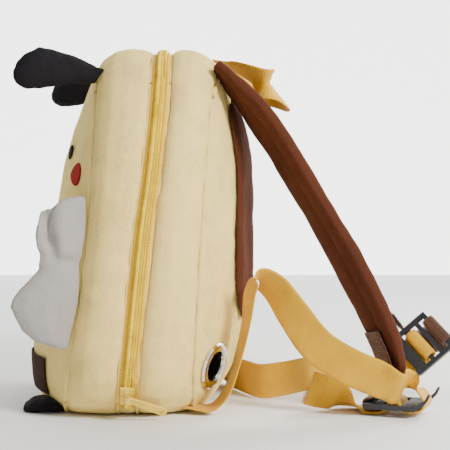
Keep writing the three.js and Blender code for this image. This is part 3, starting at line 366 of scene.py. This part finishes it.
# How far a point lies from the surface of some nodes.
def distance_to(*names):
    corners, faces = [], []
    for name in names:
        mesh = NODES[name].data
        first = len(corners)
        corners += [v.co.copy() for v in mesh.vertices]
        faces += [[first + k for k in face.vertices] for face in mesh.polygons]
    tree = BVHTree.FromPolygons(corners, faces)
    return lambda p: tree.find_nearest(p)[3]


# Stuffed plush: edges pull in at the seams, and small puckers run into them.
SEAM_REACH = 0.007
PUCKER_REACH = 0.022


def stuffed(neighbours, pull=0.0006, pucker=0.0006, swell=0.0011):
    distance = distance_to(*neighbours)

    def shape(p, normal):
        d = distance(p)
        edge = max(0.0, 1 - d / SEAM_REACH)
        near = max(0.0, 1 - d / PUCKER_REACH)
        creases = noise.noise(Vector((p.x * 45, p.y * 40, p.z * 85))) * near * pucker * 2.0
        lumps = noise.noise(p * 28 + Vector((3, 1, 7))) * swell * min(d / 0.02, 1.0)
        folds = noise.noise(p * 60 + Vector((9, 2, 4))) * swell * 0.35 * min(d / 0.01, 1.0)
        return p + normal * (creases + lumps + folds - pull * edge ** 2)

    return shape


# The turned-in cloth at the bottom of each seam: a soft roll along the bag's outline.
def seam_roll(name, node, column, shift, inset, radius, sunk):
    bm = bmesh.new()
    points = outline(inset + sunk, 0.003)
    line = [Vector((p.x, seam_y(column, p.z) + shift, p.z + (sunk if p.z < 0.001 else 0))) for p in points]
    tube(bm, line, radius, 8)
    placed(piece(name, bm, "plush"), node)


def dress_seams():
    rows = [
        ("front_seam", "front_gusset", "front", 0.0, FRONT_SEAM_INSET, 0.0019, 0.0024),
        ("back_seam", "back_gusset", "back", 0.0, BACK_SEAM_INSET, 0.0019, 0.0023),
        ("tape_seam_front", "front_gusset", "zip", -TAPE_WIDTH / 2, ZIP_INSET, 0.0013, 0.0024),
        ("tape_seam_back", "back_gusset", "zip", TAPE_WIDTH / 2, ZIP_INSET, 0.0013, 0.0024),
    ]
    for seam in rows:
        seam_roll(*seam)


def dress_bag():
    rows = [
        ("face_panel", ["front_gusset"], 0.9),
        ("front_gusset", ["face_panel", "zip_tape", "bottom_strip"], 0.8),
        ("back_gusset", ["back_panel", "zip_tape", "bottom_strip"], 0.8),
        ("back_panel", ["back_gusset", "back_pad", "tube_port_ring"], 0.85),
    ]
    for node, neighbours, fill in rows:
        soft_copy(node, "plush", 0.0017, 4, stuffed(neighbours))
    base = soft_copy("bottom_strip", "plush", 0.0014, 2, stuffed(["front_gusset", "back_gusset"], 0.0005))


# A wing: two padded lobes with a fold down the upper one, and a welt round the edge.
FOLD_DEPTH = 0.006
FOLD_WIDTH = 0.0045
WING_WAIST = 0.104


def dress_wing(side):
    node = "wing_" + side
    corners = [v.co for v in NODES[node].data.vertices]
    root_y, tip_y = max(c.y for c in corners), min(c.y for c in corners)

    def shape(p, normal):
        up = min(max((p.z - WING_WAIST) / 0.016, 0.0), 1.0)
        middle = root_y + (tip_y - root_y) * (0.36 + 0.16 * math.sin((p.z - WING_WAIST) * 55))
        fold = math.exp(-(((p.y - middle) / FOLD_WIDTH) ** 2)) * up
        waist = math.exp(-(((p.z - WING_WAIST + 0.2 * (p.y - root_y)) / 0.004) ** 2))
        outward = abs(p.x) > 0.098
        depth = (FOLD_DEPTH * fold + 0.0022 * waist) * (1 if outward else 0.4)
        lumps = noise.noise(p * 45) * 0.001 + noise.noise(p * 120) * 0.0004
        return p + normal * (lumps - depth)

    soft_copy(node, "wing_plush", 0.0012, 3, shape)


def lumpy(amount, scale):
    def shape(p, normal):
        coarse = noise.noise(p * scale)
        fine = noise.noise(p * scale * 3 + Vector((5, 5, 5)))
        return p + normal * amount * (coarse + 0.4 * fine)

    return shape


def dress_soft_parts():
    for side in ("right", "left"):
        dress_wing(side)
        soft_copy("antenna_" + side, "black_plush", 0.0011, 3, lumpy(0.0012, 70))
        soft_copy("foot_" + side, "black_plush", 0.001, 3, lumpy(0.0008, 80))
        soft_copy("eye_" + side, "black_plush", 0.0004, 1)
        soft_copy("cheek_" + side, "red_plush", 0.0004, 1)
    soft_copy("belly_stripe", "belly_plush", 0.0006, 2, lumpy(0.0002, 60))
    soft_copy("back_pad", "brown_plush", 0.0013, 4, lumpy(0.0009, 45))


# A smooth line through rows of a band, spaced by the root of the distance between them.
def curve_point(points, t):
    last = len(points) - 1
    at = t * last
    i = min(int(at), last - 1)
    w = at - i
    before = points[i - 1] if i > 0 else points[0] * 2 - points[1]
    after = points[i + 2] if i + 2 <= last else points[last] * 2 - points[last - 1]
    a, b = points[i], points[i + 1]
    d0, d1, d2 = (max((q - p).length ** 0.5, 1e-6) for p, q in ((before, a), (a, b), (b, after)))
    out = ((a - before) / d0 - (b - before) / (d0 + d1) + (b - a) / d1) * d1
    into = ((b - a) / d1 - (after - a) / (d1 + d2) + (after - b) / d2) * d1
    square = (b - a) * 3 - out * 2 - into
    cube = (a - b) * 2 + out + into
    return a + out * w + square * w * w + cube * w ** 3


# The frames along a band: its middle line, its width's direction and the shares of width and thickness.
def band_frames(rows, steps):
    points = [Vector(row["at"]) * MM for row in rows]
    last = len(rows) - 1
    frames, length, before = [], 0.0, None
    for k in range(steps + 1):
        t = k / steps
        i = min(int(t * last), last - 1)
        w = t * last - i
        at = curve_point(points, t)
        ahead = curve_point(points, min(t + 1e-4, 1))
        along = (ahead - curve_point(points, max(t - 1e-4, 0))).normalized()
        face = Vector(rows[i]["face"]).lerp(Vector(rows[i + 1]["face"]), w)
        across = (face - along * face.dot(along)).normalized()
        length += (at - before).length if before else 0.0
        before = at
        shares = [(1 - w) * rows[i].get(key, 1) + w * rows[i + 1].get(key, 1) for key in ("wide", "thick")]
        frames.append({"at": at, "along": along, "across": across, "out": along.cross(across),
                       "wide": shares[0], "thick": shares[1], "length": length})
    return frames


# A closed band swept along frames; its UV holds metres along it and across it.
def swept(name, frames, width, thick, section, material):
    bm = bmesh.new()
    uv = bm.loops.layers.uv.new("UVMap")
    rings = []
    for f in frames:
        half, deep = width / 2 * f["wide"], thick / 2 * f["thick"]
        rings.append([bm.verts.new(f["at"] + f["across"] * x * half + f["out"] * y * deep) for x, y in section])
    count = len(section)
    for k in range(len(rings) - 1):
        for j in range(count):
            n = (j + 1) % count
            face = bm.faces.new((rings[k][j], rings[k][n], rings[k + 1][n], rings[k + 1][j]))
            for loop, (row, column) in zip(face.loops, ((k, j), (k, n), (k + 1, n), (k + 1, j))):
                loop[uv].uv = (frames[row]["length"], section[column][0] * width / 2)
    bm.faces.new(rings[0][::-1])
    bm.faces.new(rings[-1])
    bmesh.ops.recalc_face_normals(bm, faces=bm.faces)
    return piece(name, bm, material)


# A ribbon's section: flat with rounded selvedges.
def ribbon_section(columns=14):
    top = [(2 * k / columns - 1, 1 if 0 < k < columns else 0.45) for k in range(columns + 1)]
    return top + [(x, -y) for x, y in reversed(top)]


# A padded strap's section: plump, with a stitched groove a third of the way in on the outer side.
GROOVE_PLACE = 0.36
GROOVE_WIDTH = 0.07


def strap_section(outer):
    rows = []
    for k in range(72):
        turn = 2 * math.pi * (k + 0.5) / 72
        x = math.copysign(abs(math.cos(turn)) ** 0.6, math.cos(turn))
        y = math.copysign(abs(math.sin(turn)) ** 0.6, math.sin(turn))
        groove = 0.5 * math.exp(-(((x - outer * GROOVE_PLACE) / GROOVE_WIDTH) ** 2))
        rows.append((x, y * (1 - groove)))
    return rows


# The padded straps' middle lines in mm, from the root in the back seam to the tip.
STRAP_ROWS = {
    "right": [
        {"at": (42, 60, 240), "face": (1, 0.1, 0), "wide": 0.72, "thick": 0.6},
        {"at": (43, 74, 224), "face": (1, 0.18, 0.1), "wide": 0.86, "thick": 0.85},
        {"at": (46, 89, 206), "face": (1, 0.26, 0.15), "wide": 1},
        {"at": (49, 105, 182), "face": (1, 0.26, 0.15), "wide": 1},
        {"at": (53, 121, 155), "face": (1, 0.26, 0.15), "wide": 1},
        {"at": (57, 139, 124), "face": (1, 0.28, 0.16), "wide": 1},
        {"at": (60, 154, 97), "face": (1, 0.3, 0.17), "wide": 1},
        {"at": (63, 167, 71), "face": (1, 0.3, 0.15), "wide": 0.98},
        {"at": (65, 177, 48), "face": (1, 0.3, 0.1), "wide": 0.9, "thick": 0.9},
        {"at": (66, 182, 32), "face": (1, 0.3, 0.05), "wide": 0.66, "thick": 0.7},
        {"at": (66, 184, 22), "face": (1, 0.3, 0), "wide": 0.4, "thick": 0.45},
    ],
    "left": [
        {"at": (-42, 60, 240), "face": (1, -0.1, 0), "wide": 0.72, "thick": 0.6},
        {"at": (-43, 74, 225), "face": (1, -0.14, 0), "wide": 0.86, "thick": 0.85},
        {"at": (-44, 91, 208), "face": (1, -0.18, -0.08), "wide": 1},
        {"at": (-46, 108, 185), "face": (1, -0.18, -0.1), "wide": 1},
        {"at": (-48, 128, 155), "face": (1, -0.18, -0.1), "wide": 1},
        {"at": (-50, 149, 121), "face": (1, -0.18, -0.1), "wide": 1},
        {"at": (-54, 166, 95), "face": (1, -0.16, -0.08), "wide": 1},
        {"at": (-59, 181, 70), "face": (1, -0.12, -0.05), "wide": 0.98},
        {"at": (-63, 192, 52), "face": (1, -0.1, 0), "wide": 0.86, "thick": 0.8},
        {"at": (-65, 199, 41), "face": (1, -0.1, 0), "wide": 0.66, "thick": 0.6},
        {"at": (-66, 203, 34), "face": (1, -0.1, 0), "wide": 0.4, "thick": 0.4},
    ],
}

# Sizes of the webbing and buckles, in mm like the rows below.
WEBBING_WIDTH = 25
WEBBING_THICK = 1.6
STRAP_WIDTH = 42
STRAP_THICK = 12
BUCKLE_THICK = 3.4
BUCKLE_BAR = 3.6
BUCKLE_SLOT = 5
BUCKLE_LIP = 9
GAP = 0.3
BAR_PITCH = BUCKLE_BAR + BUCKLE_SLOT
RIDGE = BUCKLE_THICK + GAP + WEBBING_THICK / 2 + 0.4
KEEL = -(GAP + WEBBING_THICK / 2 + 0.3)
LAYER = WEBBING_THICK + 0.8
SLOT_MIDDLE = BAR_PITCH / 2
LIP_FRONT = BAR_PITCH - BUCKLE_BAR / 2 + BUCKLE_LIP
END_BAR = -2 * BAR_PITCH


# A buckle's frame: X along its bars, Y towards its claws, Z out of its face.
def buckle_frame(x, y, middle):
    y = Vector(y).normalized()
    x = Vector(x)
    x = (x - y * x.dot(y)).normalized()
    return Matrix((x, y, x.cross(y))).transposed(), Vector(middle)


BUCKLE_FRAMES = {
    "right": buckle_frame((0.93, -0.37, 0), (0.37, 0.93, 0), (67, 184, 5.2)),
    "left": buckle_frame((-0.55, -0.54, 0.63), (0.02, -0.76, -0.65), (-38, 218, 33)),
}


# Rows written in a buckle's own frame, as rows in the bag's frame.
def in_frame(side, rows):
    turn, middle = BUCKLE_FRAMES[side]
    return [{"at": tuple(turn @ Vector(r["at"]) + middle), "face": tuple(turn @ Vector(r["face"]))} for r in rows]


def row(x, y, z, face=(1, 0, 0)):
    return {"at": (x, y, z), "face": face}


# The webbing goes up through one slot, over the middle bar and down through the next slot.
LADDER = [
    row(0, SLOT_MIDDLE + 2.2, KEEL),
    row(0, SLOT_MIDDLE, BUCKLE_THICK / 2),
    row(0, SLOT_MIDDLE - 1.6, RIDGE),
    row(0, -SLOT_MIDDLE + 1.6, RIDGE),
    row(0, -SLOT_MIDDLE, BUCKLE_THICK / 2),
]
RIGHT_LADDER = [
    row(5, 8, 15, (0.9, 0, 0.4)),
    row(1, 18, 9.5),
    row(0, LIP_FRONT + 5, 3.4),
    row(0, LIP_FRONT + 2.2, -0.6),
    row(0, LIP_FRONT - 3, KEEL),
    *LADDER,
    row(0, -SLOT_MIDDLE - 2.4, KEEL - 0.6),
    row(0, END_BAR + 4, KEEL - LAYER),
    row(0, END_BAR - 5, KEEL - LAYER),
]
LEFT_LADDER = [
    row(0, LIP_FRONT + 10, KEEL - LAYER - 2),
    row(0, LIP_FRONT - 2, KEEL - LAYER),
    row(0, 2, KEEL - LAYER),
    row(0, -SLOT_MIDDLE + 1, KEEL - 1),
    *reversed(LADDER),
    row(0, LIP_FRONT - 1, KEEL),
    row(0, LIP_FRONT + 8, KEEL + 1.5),
]
WEBBING_ROWS = {
    "right": [
        row(62, 38, 5),
        row(65, 56, 4, (1, 0.1, 0)),
        row(67, 66, 14, (1, 0.15, 0)),
        row(68, 73, 33, (1, 0.15, 0)),
        row(68, 80, 62, (1, 0.2, 0)),
        row(68, 83, 84, (1, 0.35, 0.2)),
        row(68, 88, 93, (0.9, 0.5, 0.5)),
        row(69, 99, 87, (0.7, 0.5, 0.7)),
        row(72, 112, 69, (0.4, 0.55, 0.85)),
        row(77, 128, 48, (0.1, 0.55, 0.85)),
        row(84, 149, 35, (0, 0.4, 0.9)),
        row(88, 168, 27, (0.1, 0.3, 0.9)),
        row(88, 180, 21, (0.5, 0, 0.7)),
        *in_frame("right", RIGHT_LADDER),
        row(58, 153, 4.8, (0.9, -0.2, 0.35)),
        row(59, 144, 10, (0.5, 0, 0.85)),
        row(61, 134, 14, (0.25, 0.1, 0.95)),
        row(62, 124, 17, (0.2, 0.15, 0.95)),
    ],
    "left": [
        row(-58, 38, 6),
        row(-50, 58, 10.2, (0.8, 0, 0.5)),
        row(-34, 70, 13, (0.1, 0, 1)),
        row(-6, 82, 13.5, (0, 0, 1)),
        row(16, 93, 14, (0, 0, 1)),
        row(17, 108, 16, (0, 0, 1)),
        row(4, 124, 17, (0, 0, 1)),
        row(-14, 142, 16, (0, 0, 1)),
        row(-30, 162, 14, (-0.1, -0.1, 1)),
        row(-38, 182, 12, (-0.35, -0.35, 0.8)),
        *in_frame("left", LEFT_LADDER),
        row(-36, 188, 7.6, (-0.55, -0.5, 0.5)),
    ],
}
HANDLE_HALF = [
    row(12, 60, 246),
    row(16, 72, 242, (0.9, -0.2, 0.2)),
    row(26, 86, 235, (0.45, -0.5, 0.65)),
    row(26, 97, 228, (0.1, -0.6, 0.8)),
    row(14, 104, 223, (0, -0.62, 0.78)),
]
HANDLE_OTHER = [
    row(-r["at"][0], *r["at"][1:], (-r["face"][0], *r["face"][1:])) for r in reversed(HANDLE_HALF)
]
HANDLE_ROWS = [*HANDLE_HALF, row(0, 106, 222, (0, -0.62, 0.78)), *HANDLE_OTHER]


# The brown tab goes round the buckle's end bar, on the side of the face (1) or the back (-1).
def wrap_rows(side, face):
    over = RIDGE - BUCKLE_THICK / 2
    places = [
        (END_BAR + 0.5, over + 0.7),
        (END_BAR - BUCKLE_BAR / 2 - 1.2, over),
        (END_BAR - BUCKLE_BAR / 2 - 2.4, 0),
        (END_BAR - BUCKLE_BAR / 2 - 1.2, -over),
        (END_BAR + 0.5, -over - 0.4),
        (END_BAR + BUCKLE_BAR / 2 + 1.6, -over + 0.2),
        (END_BAR + BUCKLE_BAR / 2 + 2.6, 0),
    ]
    return [row(0, y, BUCKLE_THICK / 2 + side * z, (face, 0, 0)) for y, z in places]


TAB_ROWS = {
    "right": [
        row(66.2, 165.9, 56, (1, 0.3, 0.12)),
        row(67.1, 171, 44.6, (1, 0.3, 0.1)),
        row(67.7, 175.9, 30, (1, 0.3, 0.05)),
        row(67.4, 177.4, 20, (1, 0.1, 0)),
        *in_frame("right", [row(0, -10.5, 9), *wrap_rows(1, 1)]),
    ],
    "left": [
        row(-64, 199, 55),
        row(-64, 206, 45, (1, 0.1, 0)),
        row(-60, 214, 40, (0.8, 0.3, -0.2)),
        *in_frame("left", [row(0, END_BAR + 2, -9, (-1, 0, 0)), *wrap_rows(-1, -1)]),
    ],
}


# Stitches in a line along a band: short raised threads at a share of its width, on one face.
def band_stitches(name, frames, width, thick, share, face, pitch, thread, material):
    bm = bmesh.new()
    at, stitch = 0.0, []
    for a, b in zip(frames, frames[1:]):
        while at <= b["length"]:
            w = (at - a["length"]) / max(b["length"] - a["length"], 1e-9)
            stitch.append((a, b, w))
            at += pitch
    for a, b, w in stitch:
        middle = a["at"].lerp(b["at"], w)
        across = a["across"].lerp(b["across"], w)
        out = a["out"].lerp(b["out"], w)
        along = a["along"].lerp(b["along"], w)
        place = middle + across * share * width / 2 * a["wide"] + out * face * thick / 2 * a["thick"]
        turn = Matrix((along * pitch * 0.36, across * thread, out * thread)).transposed()
        bmesh.ops.create_icosphere(
            bm, subdivisions=1, radius=1, matrix=Matrix.Translation(place) @ turn.to_4x4()
        )
    return piece(name, bm, material)


# The soft stuffing of a strap shows as low waves on its faces.
def waved(obj, frames, amount):
    for vertex in obj.data.vertices:
        p = vertex.co
        wave = noise.noise(Vector((p.x * 40, p.y * 40, p.z * 40))) + 0.5 * noise.noise(p * 110)
        vertex.co = p + vertex.normal * wave * amount
    return obj


def dress_straps():
    for side, outer in (("right", 1), ("left", -1)):
        frames = band_frames(STRAP_ROWS[side], 220)
        width, thick = STRAP_WIDTH * MM, STRAP_THICK * MM
        strap = swept("strap_" + side, frames, width, thick, strap_section(outer), "brown_plush")
        placed(waved(strap, frames, 0.0007), "shoulder_strap_" + side)
        frames = band_frames(TAB_ROWS[side], 220)
        width, thick = (WEBBING_WIDTH - 1) * MM, WEBBING_THICK * MM
        tab = swept("tab_" + side, frames, width, thick, ribbon_section(), "brown_webbing")
        placed(tab, "strap_tab_" + side)
        sewn = [f for f in frames if f["length"] < 0.012]
        for share in (-0.8, 0.8):
            for face in (-1, 1):
                name = f"tab_stitches_{side}_{share}_{face}"
                made = band_stitches(name, sewn, width, thick, share, face, 0.003, 0.0003, "brown_thread")
                placed(made, "strap_tab_" + side)


def dress_webbing():
    width, thick = WEBBING_WIDTH * MM, WEBBING_THICK * MM
    rows = [("webbing_right", WEBBING_ROWS["right"]), ("webbing_left", WEBBING_ROWS["left"])]
    for node, table in [*rows, ("grab_handle", HANDLE_ROWS)]:
        frames = band_frames(table, 420 if node != "grab_handle" else 160)
        band = swept(node + "_ribbon", frames, width, thick, ribbon_section(), "yellow_webbing")
        placed(band, node)
        if node == "webbing_right":
            hem(frames, node, width, thick)


# A folded and stitched hem at the webbing's free end, with a few frayed threads.
HEM_LENGTH = 0.009


def hem(frames, node, width, thick):
    end = frames[-1]["length"]
    folded = [dict(f) for f in frames if f["length"] > end - HEM_LENGTH]
    for f in folded:
        f["at"] = f["at"] - f["out"] * thick * 0.9
    fold = swept(node + "_hem", folded, width * 0.99, thick * 0.8, ribbon_section(), "yellow_webbing")
    placed(fold, node)
    bm = bmesh.new()
    last = frames[-1]
    for k in range(60):
        share = (k + 0.5) / 30 - 1 if k < 30 else (k - 29.5) / 15 - 1
        drift = noise.noise_vector(Vector((k * 0.73, 1.1, 4.2)))
        start = last["at"] + last["across"] * width / 2 * share
        start += last["out"] * thick * 0.3 * drift.z
        points = [start]
        for j in range(1, 4):
            bend = noise.noise_vector(Vector((k * 1.7, j * 0.9, 2.0))) * 0.0012
            points.append(start + last["along"] * j * 0.0008 * (0.6 + abs(drift.x)) + bend * j / 3)
        tube(bm, points, 0.00016, 4)
    placed(piece(node + "_frays", bm, "yellow_webbing"), node)


# A thin tube through points, added to a bmesh.
def tube(bm, points, radius, sides):
    rings = []
    for i, p in enumerate(points):
        along = (points[min(i + 1, len(points) - 1)] - points[max(i - 1, 0)]).normalized()
        side = along.orthogonal().normalized()
        up = along.cross(side)
        turns = [2 * math.pi * k / sides for k in range(sides)]
        rings.append([bm.verts.new(p + (side * math.cos(t) + up * math.sin(t)) * radius) for t in turns])
    for a, b in zip(rings, rings[1:]):
        for k in range(sides):
            n = (k + 1) % sides
            bm.faces.new((a[k], a[n], b[n], b[k]))
    bm.faces.new(rings[0][::-1])
    bm.faces.new(rings[-1])


# The zip: woven tape with a stitch line down each side, and two rows of teeth that mesh.
TOOTH_RADIUS = 0.00062
TOOTH_REACH = 0.0031
STITCH_PITCH = 0.0026


def dress_zip():
    tape = soft_copy("zip_tape", "zip_tape", 0.0008, 1)
    tape.data.materials[0] = MATERIALS["zip_tape"]
    bm = bmesh.new()
    rows = zip_path(ZIP_INSET - 0.0004, TOOTH_PITCH / 2)
    for i, spot in enumerate(rows):
        side = 1 if i % 2 else -1
        across = spot["out"].cross(spot["along"]).normalized()
        low, high = spot["out"] * 0.0002, spot["out"] * COIL_HEIGHT * 0.5
        points = [
            spot["at"] - across * side * 0.0006 - low,
            spot["at"] + across * side * 0.0004 + high * 0.8,
            spot["at"] + across * side * TOOTH_REACH * 0.6 + high,
            spot["at"] + across * side * TOOTH_REACH * 0.92 + high * 0.4,
            spot["at"] + across * side * TOOTH_REACH - low * 5,
        ]
        tube(bm, points, TOOTH_RADIUS, 5)
    placed(piece("zip_teeth", bm, "zip"), "zip_coil")
    bm = bmesh.new()
    for side in (-1, 1):
        for spot in zip_path(ZIP_INSET + TAPE_RECESS * 0.2, STITCH_PITCH):
            across = spot["out"].cross(spot["along"]).normalized()
            middle = spot["at"] + across * side * (COIL_WIDTH / 2 + 0.0016)
            tube(bm, [middle + spot["along"] * d * STITCH_PITCH for d in (-0.36, 0, 0.36)], 0.00026, 5)
    placed(piece("zip_stitches", bm, "zip"), "zip_coil")


# A hard piece: the modelled shape with softened edges.
def hard_copy(node, material, edge, body=BAG):
    obj = piece(node + "_finish", NODES[node].data.copy(), material)
    bevel = obj.modifiers.new("edges", "BEVEL")
    bevel.width = edge
    bevel.segments = 3
    bevel.limit_method = "ANGLE"
    bevel.angle_limit = math.radians(35)
    bevel.harden_normals = False
    applied(obj)
    for face in obj.data.polygons:
        face.use_smooth = True
    obj.data.set_sharp_from_angle(angle=math.radians(50))
    return placed(obj, node, body)


def dress_hardware():
    hard_copy("buckle_right", "buckle", 0.0006)
    hard_copy("buckle_left", "buckle", 0.0006)
    hard_copy("zip_slider", "zip_metal", 0.0003)
    hard_copy("zip_pull", "zip_metal", 0.0002, "pull")
    hard_copy("tube_port_ring", "chrome", 0.0003)


# The light is a soft key from behind on the right, in a room that is dimmer in front of the face.
def area_light(name, at, size, power, colour, target):
    data = bpy.data.lights.new(name, "AREA")
    data.shape = "DISK"
    data.size = size
    data.energy = power
    data.color = colour
    obj = bpy.data.objects.new(name, data)
    obj.location = at
    obj.rotation_euler = (Vector(target) - Vector(at)).to_track_quat("-Z", "Y").to_euler()
    bpy.context.scene.collection.objects.link(obj)


# A bright paper backdrop behind the bag.
def backdrop():
    mesh = bpy.data.meshes.new("backdrop")
    corners = [(-1.3, -2.0, -0.01), (-1.3, 2.0, -0.01), (-1.3, 2.0, 2.0), (-1.3, -2.0, 2.0)]
    mesh.from_pydata(corners, [], [(0, 1, 2, 3)])
    obj = bpy.data.objects.new("backdrop", mesh)
    bpy.context.scene.collection.objects.link(obj)
    tree = Tree("backdrop_paper")
    grain = tree.noise(40, 2, 0.5)
    tree.link(
        tree.ramp(grain, [(0.0, (0.95, 0.95, 0.94)), (1.0, (1.0, 1.0, 0.99))]),
        tree.shader.inputs["Emission Color"],
    )
    tree.set(Roughness=1.0, Emission_Strength=3.0)
    mesh.materials.append(tree.material)


def light_and_floor():
    world = bpy.data.worlds.new("studio")
    world.use_nodes = True
    bpy.context.scene.world = world
    nodes, links = world.node_tree.nodes, world.node_tree.links
    background = nodes["Background"]
    background.inputs["Strength"].default_value = 0.9
    split = nodes.new("ShaderNodeSeparateXYZ")
    links.new(nodes.new("ShaderNodeTexCoord").outputs["Generated"], split.inputs["Vector"])
    reach = nodes.new("ShaderNodeMapRange")
    reach.inputs["From Min"].default_value = -0.8
    reach.inputs["From Max"].default_value = 0.3
    reach.inputs["To Min"].default_value = 0.12
    reach.inputs["To Max"].default_value = 1.0
    links.new(split.outputs["Y"], reach.inputs["Value"])
    links.new(reach.outputs["Result"], background.inputs["Color"])
    area_light("key", (0.75, 0.8, 0.75), 0.3, 20, (1.0, 0.98, 0.95), (0.05, 0.05, 0.1))
    area_light("rim", (-0.5, 0.7, 0.6), 0.4, 6, (1.0, 1.0, 1.0), (0.0, 0.1, 0.1))
    floor = bpy.data.meshes.new("floor")
    corners = [(-6, -6, 0), (6, -6, 0), (6, 6, 0), (-6, 6, 0)]
    floor.from_pydata(corners, [], [(0, 1, 2, 3)])
    obj = bpy.data.objects.new("floor", floor)
    bpy.context.scene.collection.objects.link(obj)
    tree = Tree("pale_floor")
    speck = tree.noise(300, 2, 0.5)
    tree.link(
        tree.ramp(speck, [(0.0, (0.84, 0.84, 0.83)), (1.0, (0.9, 0.9, 0.89))]),
        tree.shader.inputs["Base Color"],
    )
    tree.set(Roughness=0.9)
    floor.materials.append(tree.material)
    backdrop()


# The camera looks at the bag's right side from arm's length, level with its middle.
def camera():
    data = bpy.data.cameras.new("camera")
    data.sensor_width = 36
    data.lens = 91.6
    obj = bpy.data.objects.new("camera", data)
    obj.location = (0.85, 0.0656, 0.15)
    obj.rotation_euler = (math.radians(88.5), 0, math.radians(90))
    bpy.context.scene.collection.objects.link(obj)
    bpy.context.scene.camera = obj


dress_bag()
dress_seams()
dress_soft_parts()
dress_straps()
dress_webbing()
dress_zip()
dress_hardware()
light_and_floor()
camera()
